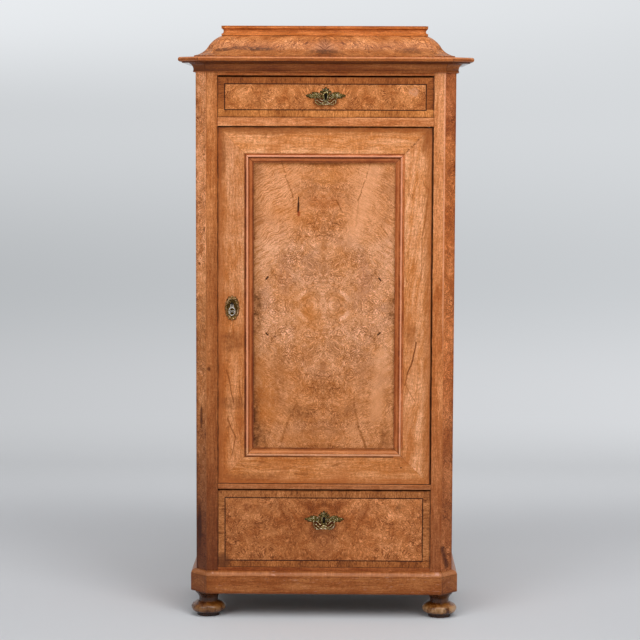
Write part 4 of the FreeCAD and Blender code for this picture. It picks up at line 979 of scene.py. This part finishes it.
class Casting:
    """A place on a front for brass: turns (across, up, out) in metres into the cupboard's frame."""

    def __init__(self, across, up, depth):
        self.origin = np.array((across, depth, up))

    def place(self, across, up, out):
        across, up, out = np.broadcast_arrays(across, up, out)
        return self.origin + np.stack((across, -out, up), axis=-1)

    def leaf(self, root, tip, half_width, rise, lobes):
        """A carved leaf from root to tip.

        Its half width is a sine arch cut by lobes, and its height is a crown with a groove down
        the middle and ribs that slant towards the edge. The back is flat on the wood.
        """
        root, tip = np.array(root), np.array(tip)
        run = tip - root
        aside = np.array((-run[1], run[0])) / np.hypot(*run)
        down = np.linspace(0.0, 1.0, 30)[:, None]
        out = np.linspace(-1.0, 1.0, 11)[None, :]
        cuts = 1 + 0.2 * np.sin(2 * np.pi * lobes * down)
        width = half_width * np.sin(np.pi * down ** 0.7) ** 0.7 * cuts + 0.0002
        crown = (0.3 + 0.7 * (1 - out ** 2)) * np.sin(np.pi * np.clip(down, 0.04, 0.96)) ** 0.4
        crown = crown * (1 - 0.4 * np.exp(-(out / 0.18) ** 2))
        ribs = 0.16 * np.cos(2 * np.pi * (lobes * down - 1.1 * np.abs(out)))
        across = root[0] + down * run[0] + out * width * aside[0]
        up = root[1] + down * run[1] + out * width * aside[1]
        front = self.place(across, up, rise * (crown + ribs * (1 - down * 0.4)))
        rear = self.place(across, up, 0.0)[:, ::-1]
        return loft(np.concatenate((front, rear), axis=1))

    def plate(self, inner, outer, heights):
        """A flat casting with a hole: straight lines from the hole's edge to the outer edge.

        The heights are those of the front, evenly spaced from the hole outwards.
        """
        share = np.linspace(0.0, 1.0, len(heights))[None, :, None]
        flat = inner[:, None, :] * (1 - share) + outer[:, None, :] * share
        front = self.place(flat[..., 0], flat[..., 1], np.asarray(heights)[None, :])
        rear = self.place(flat[..., 0], flat[..., 1], 0.0)[:, ::-1]
        return loft(np.concatenate((front, rear), axis=1), ring=True)

    def scroll(self, centre, start, stop, wide, narrow, thick, out):
        """A spiral bar whose radius falls evenly from wide to narrow and which ends in a bead."""
        share = np.linspace(0.0, 1.0, 34)
        turn = np.radians(start + (stop - start) * share)
        radius = wide + (narrow - wide) * share
        thickness = thick * (0.75 + 0.25 * share) * (1 + 0.6 * np.exp(-((1 - share) / 0.06) ** 2))
        path = self.place(centre[0] + radius * np.cos(turn), centre[1] + radius * np.sin(turn), out)
        return bar(path, thickness)

    def bead(self, across, up, out, radius):
        """A small ball, drawn as a short bar with a half-circle profile."""
        angle = np.linspace(-0.5 * np.pi, 0.5 * np.pi, 9)
        path = self.place(across + radius * np.sin(angle), np.full(len(angle), up), out)
        return bar(path, np.maximum(radius * np.cos(angle), radius * 0.02))

    def pairs(self, rise, right_turn, left_turn, leaves, scrolls):
        """Leaves and scrolls on both sides of the middle.

        A leaf's row holds its root, tip, half width, lobes and share of the rise. A scroll's row
        holds its centre, first and last radius, thickness and height.
        """
        shells = []
        for sign, turn in ((-1, left_turn), (1, right_turn)):
            for across, up, tip, tip_up, width, lobes, height in leaves:
                ends = (across * sign, up), (tip * sign, tip_up)
                shells.append(self.leaf(*ends, width, rise * height, lobes))
            for across, up, *sizes in scrolls:
                shells.append(self.scroll((across * sign, up), *turn, *sizes))
        return shells


def keyhole_edge(angle, radius, half_slot, drop):
    """The edge of a keyhole seen from its eye: a circle with a slot below it."""
    aside, down = np.sin(angle + np.pi / 2), np.cos(angle + np.pi / 2)
    reach = np.minimum(half_slot / (np.abs(aside) + TINY), drop / np.maximum(down, TINY))
    distance = np.where(down > 0, np.maximum(radius, reach), radius)
    return np.stack((distance * np.cos(angle), distance * np.sin(angle)), axis=-1)


def oval(angle, half_width, half_height, scallops=0, depth=0.0):
    """An oval edge with a wavy outline."""
    swell = 1 + depth * np.cos(scallops * angle)
    return np.stack((half_width * swell * np.cos(angle), half_height * swell * np.sin(angle)), axis=-1)


def block(low, high):
    """A plain rectangular shell between two corners."""
    points = [(x, y, z) for x in (low[0], high[0]) for y in (low[1], high[1]) for z in (low[2], high[2])]
    faces = ((0, 1, 3, 2), (4, 6, 7, 5), (0, 4, 5, 1), (2, 3, 7, 6), (0, 2, 6, 4), (1, 5, 7, 3))
    return np.array(points), faces


def assemble(name, shells, body, surface, slot, *nodes):
    """One object from closed shells. It rides on a body in place of the solids that are named."""
    points = np.concatenate([corners for corners, sides in shells])
    starts = np.cumsum([0] + [len(corners) for corners, sides in shells])
    faces = [[start + corner for corner in side]
             for start, (corners, sides) in zip(starts, shells) for side in sides]
    mesh = bpy.data.meshes.new(name)
    mesh.from_pydata(points.tolist(), [], faces)
    form = bmesh.new()
    form.from_mesh(mesh)
    bmesh.ops.recalc_face_normals(form, faces=form.faces)
    form.to_mesh(mesh)
    form.free()
    return settle(name, mesh, body, surface, slot, *nodes)


def settle(name, mesh, body, surface, slot, *nodes):
    """Puts a mesh into the scene as a smooth piece with its finish and body. The slot is not used."""
    mesh.polygons.foreach_set("use_smooth", np.ones(len(mesh.polygons), bool))
    mesh.set_sharp_from_angle(angle=SHARP_ANGLE)
    mesh.materials.clear()
    mesh.materials.append(surface)
    piece = bpy.data.objects.new(name, mesh)
    bpy.context.scene.collection.objects.link(piece)
    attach(piece, body)
    if nodes:
        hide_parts(*nodes)
    return piece


def worn(names, body, surface, slot, softness=1.0):
    """Copies of solids with their arrises rounded over, in place of the solids."""
    for node in names.split():
        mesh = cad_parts[node].data.copy()
        form = bmesh.new()
        form.from_mesh(mesh)
        bmesh.ops.remove_doubles(form, verts=form.verts, dist=2 * TINY)
        bmesh.ops.dissolve_limit(form, angle_limit=FLUSH_ANGLE, verts=form.verts, edges=form.edges)
        form.to_mesh(mesh)
        form.free()
        piece = settle(f"{node}_worn", mesh, body, surface, slot, node)
        rounding = piece.modifiers.new("arris", "BEVEL")
        rounding.width = bpy.context.scene.cupboard_sizes.softening * softness
        rounding.segments = ARRIS_SEGMENTS
        rounding.limit_method = "ANGLE"
        rounding.angle_limit = SHARP_ANGLE
        rounding.harden_normals = True


def coat(names, surface):
    """Gives solids that stay as they are a finish."""
    for node in names.split():
        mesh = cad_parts[node].data
        mesh.materials.clear()
        mesh.materials.append(surface)


def softwood(axis):
    """The finish of an inner board whose grain runs along one axis."""
    name = {"x": "softwood_level", "y": "softwood_deep", "z": "softwood_upright"}[axis]
    return finish(name, inner_wood(axis), varnished=False)


# ---------------------------------------------------------------- pieces


class CUPBOARD_OT_case(bpy.types.Operator):
    """Front posts, rails and sides with rounded arrises"""

    bl_idname = "cupboard.case"
    bl_label = "Case"

    def execute(self, context):
        post = finish("post_walnut", post_wood, coat=0.12)
        side = finish("side_walnut", side_wood, coat=0.08)
        rail = finish("rail_walnut", rail_wood, coat=0.12)
        for hand in ("left", "right"):
            worn(f"corner_post_{hand}", "carcass", post, "walnut")
            worn(f"side_{hand}", "carcass", side, "walnut")
        worn("rail_bottom rail_waist rail_drawer rail_frieze", "carcass", rail, "walnut")
        return {"FINISHED"}


class CUPBOARD_OT_inside(bpy.types.Operator):
    """Floors, shelves, guides and back in aged softwood"""

    bl_idname = "cupboard.inside"
    bl_label = "Inside"

    def execute(self, context):
        worn("bottom_board cupboard_floor dust_board top_board", "carcass", softwood("x"), "pine")
        worn("shelf_low shelf_middle shelf_high pediment_back", "carcass", softwood("x"), "pine")
        worn("back_boards foot_blocks", "carcass", softwood("z"), "pine")
        worn("shelf_cleats drawer_guides", "carcass", softwood("y"), "pine")
        self.tongues(softwood("z"))
        return {"FINISHED"}

    def tongues(self, surface):
        """Loose tongues in the grooves between the back boards, which close their joints to the light."""
        low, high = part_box("back_boards")
        third = (high.y - low.y) / 3
        shells = []
        for number in range(1, BACK_BOARDS):
            middle = low.x + BOARD * number
            shells.append(block((middle - TONGUE_HALF, low.y + third, low.z),
                                (middle + TONGUE_HALF, high.y - third, high.z)))
        assemble("back_tongues", shells, "carcass", surface, "pine")


class CUPBOARD_OT_mouldings(bpy.types.Operator):
    """Plinth, cove, cornice, hipped top and cap"""

    bl_idname = "cupboard.mouldings"
    bl_label = "Mouldings"

    def execute(self, context):
        trim = finish("moulding_walnut", trim_wood, coat=0.15)
        worn("plinth_front plinth_cants plinth_sides", "carcass", trim, "walnut", 1.4)
        worn("cove_front cove_returns cornice_board", "carcass", trim, "walnut", 0.7)
        worn("pediment_front pediment_cants pediment_sides", "carcass",
             finish("hip_burl", hip_wood, coat=0.15), "walnut_burl", 0.5)
        worn("pediment_cap", "carcass", finish("cap_walnut", cap_wood, coat=0.15), "walnut", 0.8)
        return {"FINISHED"}


# turned profile of a foot: heights and radii in metres
BASE_HIGH, WAIST, BALL_HIGH = 0.0095, 0.027, 0.0505
NECK_HIGH, FLARE_HIGH, COLLAR_HIGH = 0.0545, 0.0765, 0.0805
BASE, NECK, COLLAR, TENON = 0.037, 0.0305, 0.0430, 0.0138
FULLNESS = 2.2
GROOVES = (0.0215, 0.0405, 0.0700)
GROOVE_DEEP, GROOVE_WIDE = 0.0007, 0.0009


class CUPBOARD_OT_feet(bpy.types.Operator):
    """Turned bun feet: a squashed ball, a neck and a flared collar, with turned grooves"""

    bl_idname = "cupboard.feet"
    bl_label = "Feet"

    def execute(self, context):
        surface = finish("turned_walnut", turned_wood, coat=0.12, specular=0.4)
        for name in ("foot_front_left", "foot_front_right"):
            low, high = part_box(name)
            assemble(f"{name}_turned", [self.turning(low, high)], "carcass", surface, "walnut_dark", name)
        wide = high.x - low.x
        low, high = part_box("feet_back")
        shells = []
        for near, far in ((low.x, low.x + wide), (high.x - wide, high.x)):
            shells.append(self.turning(Vector((near, low.y, low.z)), Vector((far, high.y, high.z))))
        assemble("feet_back_turned", shells, "carcass", surface, "walnut_dark", "feet_back")
        return {"FINISHED"}

    def turning(self, low, high):
        """Radius against height carried round the axis: base disc, flat ball, neck, flare and tenon.

        The ball is an oval whose power is a little over 2, so that its shoulders are full.
        """
        height = np.linspace(0.0, COLLAR_HIGH, 96)
        share = np.clip(np.abs(height - WAIST) / (BALL_HIGH - WAIST), 0.0, 1.0)
        ball = (high.x - low.x) / 2 * (1 - share ** FULLNESS) ** (1 / FULLNESS)
        base = np.where(height < BASE_HIGH, BASE, 0.0)
        rise = np.clip((height - NECK_HIGH) / (FLARE_HIGH - NECK_HIGH), 0.0, 1.0)
        flare = np.where(height > WAIST, NECK + (COLLAR - NECK) * rise ** 2, 0.0)
        radius = np.maximum(np.maximum(ball, base), flare)
        for groove in GROOVES:
            radius = radius - GROOVE_DEEP * np.exp(-((height - groove) / GROOVE_WIDE) ** 2)
        height = np.concatenate((height, (COLLAR_HIGH, high.z)))
        radius = np.concatenate((radius, (TENON, TENON)))
        turn = turns(72)
        x = (low.x + high.x) / 2 + radius[:, None] * np.cos(turn)
        y = (low.y + high.y) / 2 + radius[:, None] * np.sin(turn)
        z = np.broadcast_to(height[:, None], x.shape)
        return loft(np.stack((x, y, z), axis=-1))


class CUPBOARD_OT_door(bpy.types.Operator):
    """Door frame, burl panel and sight moulding"""

    bl_idname = "cupboard.door"
    bl_label = "Door"

    def execute(self, context):
        coat("door_stile_lock door_stile_hinge door_rail_top door_rail_bottom",
             finish("door_veneer", frame_wood, coat=0.15))
        coat("door_panel", finish("panel_burl", panel_wood, coat=0.12))
        worn("door_moulding", "door", finish("sight_walnut", sight_wood, coat=0.2), "walnut", 0.4)
        return {"FINISHED"}


class CUPBOARD_OT_drawers(bpy.types.Operator):
    """Veneered drawer fronts and their dovetailed boxes"""

    bl_idname = "cupboard.drawers"
    bl_label = "Drawers"

    def execute(self, context):
        low = drawer_wood(*LOW_FIELD, PULLS["low_drawer"], LOW_LOOK, LOW_MARKS)
        top = drawer_wood(*TOP_FIELD, PULLS["top_drawer"], TOP_LOOK, TOP_MARKS)
        for name, build in (("low_drawer", low), ("top_drawer", top)):
            worn(f"{name}_front", name, finish(f"{name}_veneer", build, coat=0.15), "walnut_burl", 0.7)
            worn(f"{name}_sides", name, softwood("y"), "pine")
            worn(f"{name}_back", name, softwood("x"), "pine")
            worn(f"{name}_bottom", name, softwood("x"), "pine", 0.5)
        return {"FINISHED"}


# radius, half width and drop of the slot
PULL_KEYHOLE = (0.0042, 0.0030, 0.0145)
# half width, half height, number and depth of the scallops
PULL_SHIELD = (0.0118, 0.0185, 6, 0.05)
# shares of the rise from the keyhole outwards
PULL_STEPS = np.array((0.35, 0.75, 1.0, 0.9, 0.7, 0.75, 0.45))
PULL_BEADS = (
    (-0.0205, 0.0035, 0.0040, 0.0021), (0.0205, 0.0035, 0.0040, 0.0021), (0.0, 0.0205, 0.0048, 0.0019))
GRIP_LONG, GRIP_TOP, GRIP_OUT = 0.0365, -0.0015, 0.0015
# root, tip, half width, lobes and share of the rise; then centre, radii, thickness and height
PULL_LEAVES = (
    (0.004, 0.013, 0.0105, 0.0235, 0.0036, 2, 0.9), (0.008, 0.009, 0.0185, 0.0155, 0.0036, 2, 0.85),
    (0.012, -0.001, 0.0655, 0.0005, 0.0084, 6, 1.0), (0.018, 0.005, 0.046, 0.0100, 0.0042, 4, 0.9),
    (0.026, -0.003, 0.055, -0.0070, 0.0038, 4, 0.8))
PULL_SCROLLS = (
    (0.0205, 0.0035, 0.0075, 0.0025, 0.0013, 0.003), (0.041, 0.002, 0.0052, 0.0018, 0.0011, 0.003))


class CUPBOARD_OT_pulls(bpy.types.Operator):
    """Cast pulls: a keyhole shield, crest, leafy wings and an openwork grip that slopes out"""

    bl_idname = "cupboard.pulls"
    bl_label = "Drawer pulls"

    def execute(self, context):
        surface = finish("cast_brass", brass_skin(FRONT), **CAST_BRASS)
        for name, up in PULLS.items():
            casting = Casting(0.0, up, FRONT)
            shells = self.plate(casting) + self.grip(casting)
            assemble(f"{name}_pull_cast", shells, name, surface, "brass", f"{name}_pull")
        return {"FINISHED"}

    def plate(self, casting):
        """Shield ring round the keyhole, a crest of leaves, and leaves and scrolls a side."""
        rise = bpy.context.scene.cupboard_sizes.plate_rise
        inner = np.array((0.0, 0.002)) + keyhole_edge(turns(72), *PULL_KEYHOLE)
        outer = np.array((0.0, -0.001)) + oval(turns(72), *PULL_SHIELD)
        shells = [casting.plate(inner, outer, PULL_STEPS * rise)]
        shells.append(casting.leaf((0.0, 0.013), (0.0, 0.0285), 0.0048, rise * 1.1, 2))
        shells += casting.pairs(rise, (100, 460), (80, -280), PULL_LEAVES, PULL_SCROLLS)
        return shells + [casting.bead(*place) for place in PULL_BEADS]

    def grip(self, casting):
        """A wavy beaded bow on a slope, with three ribs in the middle, and two sprigs and an arm a side."""
        reach = bpy.context.scene.cupboard_sizes.grip_reach
        lean = math.asin((reach - 0.002) / GRIP_LONG)

        def on_slope(across, down):
            return casting.place(across, GRIP_TOP - down * math.cos(lean), GRIP_OUT + down * math.sin(lean))

        share = np.linspace(0.0, np.pi, 90)
        across = 0.0335 * np.sign(np.cos(share)) * np.abs(np.cos(share)) ** 0.45
        waves = 0.0013 * np.cos(share * 10) * np.sin(share) ** 2
        down = 0.0015 + 0.0315 * np.abs(np.sin(share)) ** 0.42 + waves
        shells = [bar(on_slope(across, down), 0.0016 + 0.0004 * np.cos(share * 26))]
        share = np.linspace(0.0, 1.0, 30)
        swing_down = 0.0215 + 0.0065 * np.sin(np.pi * (share * 1.5 - 0.1))
        sprig_down = 0.0120 + 0.0055 * np.sin(np.pi * share * 1.7)
        arm_down = 0.007 - 0.0055 * np.sin(np.pi * share * 0.6)
        swell = 0.0006 * np.sin(np.pi * share)
        for sign in (-1, 1):
            shells.append(bar(on_slope(sign * (0.002 + 0.027 * share), swing_down), 0.0012 + swell))
            shells.append(bar(on_slope(sign * (0.006 + 0.019 * share), sprig_down), 0.0009 + swell))
            shells.append(bar(on_slope(sign * (0.0115 + 0.021 * share), arm_down), 0.0012))
        share = np.linspace(0.0, 1.0, 20)
        for spread in (-0.0062, 0.0, 0.0062):
            rib = on_slope(spread * share ** 1.3, 0.0175 + 0.0135 * share)
            shells.append(bar(rib, 0.0008 + 0.0009 * share))
        for spot in np.linspace(-0.024, 0.024, 9):
            _, depth, up = on_slope(spot, 0.0335) - casting.origin
            shells.append(casting.bead(spot, up, 0.0008 - depth, 0.0017))
        return shells


ESCUTCHEON_KEYHOLE = (0.0046, 0.0037, 0.0150)
ESCUTCHEON_MIDDLE = np.array((0.0, -0.0095))
ESCUTCHEON_FIELD = (0.0160, 0.0290)
ESCUTCHEON_RIM = (0.0230, 0.0375, 12, 0.055)
FIELD_HEIGHTS = (0.0016, 0.0019, 0.0016, 0.0017)
RIM_HEIGHTS = (0.0016, 0.0039, 0.0044, 0.0032, 0.0039, 0.0018)
ESCUTCHEON_HUE = (1.28, 1.0, 0.9)
ESCUTCHEON_LEAVES = (
    (0.005, 0.020, 0.0125, 0.0275, 0.0034, 2, 1.0), (0.012, 0.013, 0.0180, 0.0195, 0.0030, 2, 1.0),
    (0.006, -0.041, 0.0125, -0.0465, 0.0034, 2, 1.0), (0.015, -0.026, 0.0178, -0.0365, 0.0030, 2, 1.0),
    (0.0075, -0.014, 0.0115, -0.033, 0.0030, 2, 1.0), (0.016, 0.004, 0.0206, 0.0008, 0.0028, 2, 1.0))
ESCUTCHEON_SCROLLS = (
    (0.0165, 0.0080, 0.0052, 0.0016, 0.0013, 0.0040), (0.0160, -0.0260, 0.0056, 0.0018, 0.0013, 0.0040),
    (0.0060, -0.0340, 0.0042, 0.0014, 0.0012, 0.0030))
# how far the bow hangs below the keyhole, its half sizes, and its curl
BOW_DROP, BOW_HALF, BOW_CURL = 0.0195, (0.0096, 0.0126), (0.0040, -0.0015, 0.0046, 0.0014, 0.0009, 0.0)
BEAD_RING = (0.0192, 0.0325)


class CUPBOARD_OT_escutcheon(bpy.types.Operator):
    """Door escutcheon of scrolls and leaves, the key and its folding bow"""

    bl_idname = "cupboard.escutcheon"
    bl_label = "Escutcheon and key"

    def execute(self, context):
        door_front = span("door_stile_lock", Y)[0]
        surface = finish("plate_brass", brass_skin(door_front, ESCUTCHEON_HUE), **CAST_BRASS)
        casting = Casting(*ESCUTCHEON, door_front)
        hole = np.array((0.0, 0.004)) + keyhole_edge(turns(96), *ESCUTCHEON_KEYHOLE)
        around = oval(turns(96), *ESCUTCHEON_FIELD)
        rim = ESCUTCHEON_MIDDLE + oval(turns(96), *ESCUTCHEON_RIM)
        shells = [casting.plate(hole, ESCUTCHEON_MIDDLE + around, FIELD_HEIGHTS),
                  casting.plate(ESCUTCHEON_MIDDLE + around * 0.96, rim, RIM_HEIGHTS),
                  casting.leaf((0.0, 0.020), (0.0, 0.0315), 0.0042, 0.0042, 2),
                  casting.leaf((0.0, -0.040), (0.0, -0.0510), 0.0046, 0.0042, 2)]
        for angle in turns(18):
            up = BEAD_RING[1] * math.cos(angle) + ESCUTCHEON_MIDDLE[1]
            shells.append(casting.bead(BEAD_RING[0] * math.sin(angle), up, 0.0042, 0.0018))
        shells += casting.pairs(0.0044, (60, 420), (120, -240), ESCUTCHEON_LEAVES, ESCUTCHEON_SCROLLS)
        assemble("door_escutcheon_cast", shells, "door", surface, "brass", "door_escutcheon")
        coat("door_key", finish("key_iron", iron_skin, metallic=0.9))
        self.bow()
        return {"FINISHED"}

    def bow(self):
        """Folding bow: an oval ring with two inward curls, a bar across and two ears for the pin."""
        low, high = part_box("key_bow")
        casting = Casting(ESCUTCHEON[0], ESCUTCHEON[1] - BOW_DROP, (low.y + high.y) / 2)
        turn = turns(64)
        across = BOW_HALF[0] * np.cos(turn) * (1 + 0.10 * np.sin(turn))
        path = casting.place(across, BOW_HALF[1] * np.sin(turn), 0.0)
        shells = [bar(path, 0.0016 + 0.0005 * np.cos(turn * 5 + 1.0), ring=True)]
        shells += casting.pairs(0.0, (200, -120), (-20, 300), (), (BOW_CURL,))
        share = np.linspace(0.0, 1.0, 12)
        for aside in (-0.0035, 0.0035):
            ear = casting.place(aside, 0.0105 + 0.0118 * share, 0.0)
            shells.append(bar(ear, 0.00135 + 0.0004 * np.sin(np.pi * share)))
        share = np.linspace(-1.0, 1.0, 16)
        shells.append(bar(casting.place(0.0045 * share, 0.0118 - 0.001 * share ** 2, 0.0), 0.0014))
        surface = finish("bow_brass", bow_skin, metallic=0.9)
        assemble("key_bow_cast", shells, "key_loop", surface, "brass", "key_bow")


class CUPBOARD_OT_ironwork(bpy.types.Operator):
    """Locks, bolts and hinges"""

    bl_idname = "cupboard.ironwork"
    bl_label = "Locks and hinges"

    def execute(self, context):
        coat("door_lock door_bolt door_hinges hinge_pins top_drawer_lock top_drawer_bolt low_drawer_lock "
             "low_drawer_bolt", finish("lock_iron", iron_skin, metallic=0.8))
        return {"FINISHED"}


# ---------------------------------------------------------------- stage


SWEEP_BACK, SWEEP_BEND, SWEEP_HIGH, SWEEP_SIDE = 6.0, 1.2, 8.0, 30.0
CAMERA_PLACE = (0.06664, -6.8344, 1.62034)
CAMERA_TURN = (5.5386, -0.7101, 0.2162)
CAMERA_LENS, CAMERA_NEAR, CAMERA_FAR = 116.38, 0.1, 60.0
LAMPS = (("key_lamp", (1.9, -3.0, 3.3), (0.0, 0.0, 1.25), 2.0, 62.0),
         ("fill_lamp", (-2.6, -3.4, 2.8), (0.0, 0.0, 1.1), 2.4, 60.0),
         ("top_lamp", (0.2, -1.4, 4.2), (0.0, 0.0, 1.3), 2.4, 46.0))
AMBIENT = 0.34


class CUPBOARD_OT_stage(bpy.types.Operator):
    """Pale floor that sweeps up into a wall, three soft lamps and the camera"""

    bl_idname = "cupboard.stage"
    bl_label = "Stage"

    def execute(self, context):
        self.sweep()
        self.lamps()
        self.world()
        self.camera()
        context.scene.view_settings.view_transform = "Standard"
        return {"FINISHED"}

    def add(self, name, data):
        """A new object in the scene."""
        piece = bpy.data.objects.new(name, data)
        bpy.context.scene.collection.objects.link(piece)
        return piece

    def sweep(self):
        """A profile of floor, quarter circle and wall carried sideways."""
        turn = np.linspace(0.0, np.pi / 2, 24)
        near = SWEEP_BACK - SWEEP_BEND
        y = np.concatenate(([-SWEEP_SIDE, -3.0, 0.0, 2.0], near + SWEEP_BEND * np.sin(turn), [SWEEP_BACK]))
        z = np.concatenate(([0.0] * 4, SWEEP_BEND * (1 - np.cos(turn)), [SWEEP_HIGH]))
        x = np.array((-SWEEP_SIDE, -3.0, 0.0, 3.0, SWEEP_SIDE))
        rows = np.stack(np.broadcast_arrays(x[None, :], y[:, None], z[:, None]), axis=-1)
        index = np.arange(rows[..., 0].size).reshape(rows.shape[:2])
        corners = (index[:-1, :-1], index[:-1, 1:], index[1:, 1:], index[1:, :-1])
        mesh = bpy.data.meshes.new("sweep")
        faces = np.stack(corners, axis=-1).reshape(-1, 4)
        mesh.from_pydata(rows.reshape(-1, 3).tolist(), [], faces.tolist())
        mesh.polygons.foreach_set("use_smooth", np.ones(len(mesh.polygons), bool))
        mesh.materials.append(self.paper())
        self.add("sweep", mesh)

    def paper(self):
        """Matt paper: lit on the floor, which is painted paler further back; a glow graded as painted light
        on the wall and far off; clear from behind.
        """
        made = bpy.data.materials.new("sweep_paper")
        made.use_nodes = True
        tree = made.node_tree
        shader = tree.nodes["Principled BSDF"]
        x, y, z = here(tree)
        aside = x.high(-2.5).low(2.5)
        far = (x * x + y * y).step(9.0, 60.0)
        # Glowing wall tone graded as painted light: darker just above the floor, paler high up, shifted
        # across by side, and brighter where the floor runs into it.
        wall = lay(
            tint(paint("c8cacd"), paint("bdc0c3"), z.step(0.0, 0.6)),
            ("d2d5d8", z.step(0.6, 1.6)),
            ("e4e7ea", z.step(1.6, 2.4)),
            (None, aside * 0.02 + 1.0),
            (None, (aside + 2.0) * z.step(1.5, 0.4) * 0.035 + 1.0),
            (None, aside * z.step(1.6, 2.2) * -0.045 + 1.0),
            (None, y.step(2.9, 1.7) * y.step(0.0, 1.0) * (1.0 - far) * 0.55 + 1.0))
        # Floor painted paler further back, as painted light.
        floor = lay(tone("floor"), ("e8eaee", y.step(-0.6, 1.0)), ("f4f6f8", y.step(1.3, 4.6)))
        for slot, value in (("Base Color", floor), ("Roughness", 0.75), ("Specular IOR Level", 0.2)):
            feed(tree, shader.inputs[slot], value)
        lit = Wire(tree, shader.outputs[0])
        glow = wired(tree, "Emission", 0, {"Color": wall})
        clear = wired(tree, "BsdfTransparent", 0, {})
        looked = wired(tree, "LightPath", "Is Camera Ray", {})
        seen = looked.high(wired(tree, "LightPath", "Is Glossy Ray", {}))
        share = seen * y.step(1.0, 4.4).high(far)
        behind = wired(tree, "NewGeometry", "Backfacing", {}) * looked
        mix = wired(tree, "MixShader", 0, {0: share, 1: lit, 2: glow})
        veil = wired(tree, "MixShader", 0, {0: behind, 1: mix, 2: clear})
        feed(tree, tree.nodes["Material Output"].inputs["Surface"], veil)
        return made

    def lamps(self):
        for name, place, target, size, power in LAMPS:
            lamp = bpy.data.lights.new(name, "AREA")
            lamp.shape = "SQUARE"
            lamp.size = size
            lamp.energy = power
            holder = self.add(name, lamp)
            holder.location = place
            holder.rotation_euler = (Vector(target) - Vector(place)).to_track_quat("-Z", "Y").to_euler()

    def world(self):
        """Even soft light for the object, and a pale tone where a view looks past the sweep."""
        world = bpy.data.worlds.new("studio")
        world.use_nodes = True
        tree = world.node_tree
        background = tree.nodes["Background"]
        feed(tree, background.inputs["Color"], (1.0, 1.0, 1.0))
        feed(tree, background.inputs["Strength"], AMBIENT)
        lit = Wire(tree, background.outputs[0])
        seen = wired(tree, "Background", 0, {"Color": paint("d6d8db")})
        looked = wired(tree, "LightPath", "Is Camera Ray", {})
        mix = wired(tree, "MixShader", 0, {0: looked, 1: lit, 2: seen})
        feed(tree, tree.nodes["World Output"].inputs["Surface"], mix)
        bpy.context.scene.world = world

    def camera(self):
        """A long lens at eye height, turned by yaw, pitch and a trace of roll."""
        pitch, yaw, roll = (math.radians(angle) for angle in CAMERA_TURN)
        ahead = Vector((math.sin(yaw) * math.cos(pitch), math.cos(yaw) * math.cos(pitch), -math.sin(pitch)))
        level = Vector((math.cos(yaw), -math.sin(yaw), 0.0))
        upright = level.cross(ahead)
        right = level * math.cos(roll) + upright * math.sin(roll)
        up = upright * math.cos(roll) - level * math.sin(roll)
        lens = bpy.data.cameras.new("camera")
        lens.lens, lens.clip_start, lens.clip_end = CAMERA_LENS, CAMERA_NEAR, CAMERA_FAR
        holder = self.add("camera", lens)
        turned = Matrix((right, up, -ahead)).transposed().to_4x4()
        holder.matrix_world = Matrix.Translation(CAMERA_PLACE) @ turned
        bpy.context.scene.camera = holder


# ---------------------------------------------------------------- add-on


OPERATORS = (CUPBOARD_OT_case, CUPBOARD_OT_inside, CUPBOARD_OT_mouldings, CUPBOARD_OT_feet, CUPBOARD_OT_door,
             CUPBOARD_OT_drawers, CUPBOARD_OT_pulls, CUPBOARD_OT_escutcheon, CUPBOARD_OT_ironwork,
             CUPBOARD_OT_stage)


class CUPBOARD_PT_panel(bpy.types.Panel):
    """Lists the settings and the steps"""

    bl_label = "Linen cupboard"
    bl_idname = "CUPBOARD_PT_panel"
    bl_space_type = "VIEW_3D"
    bl_region_type = "UI"
    bl_category = "Cupboard"

    def draw(self, context):
        for settings in (context.scene.cupboard_sizes, context.scene.cupboard_colours):
            for name in settings.__annotations__:
                self.layout.prop(settings, name)
        for operator in OPERATORS:
            self.layout.operator(operator.bl_idname)


CLASSES = (CupboardColours, CupboardSizes, *OPERATORS, CUPBOARD_PT_panel)


def register():
    for item in CLASSES:
        bpy.utils.register_class(item)
    bpy.types.Scene.cupboard_colours = PointerProperty(type=CupboardColours)
    bpy.types.Scene.cupboard_sizes = PointerProperty(type=CupboardSizes)


def unregister():
    del bpy.types.Scene.cupboard_sizes
    del bpy.types.Scene.cupboard_colours
    for item in reversed(CLASSES):
        bpy.utils.unregister_class(item)


def main():
    """Makes every piece in order."""
    register()
    for operator in OPERATORS:
        group, name = operator.bl_idname.split(".")
        getattr(getattr(bpy.ops, group), name)()


if __name__ == "__main__":
    main()
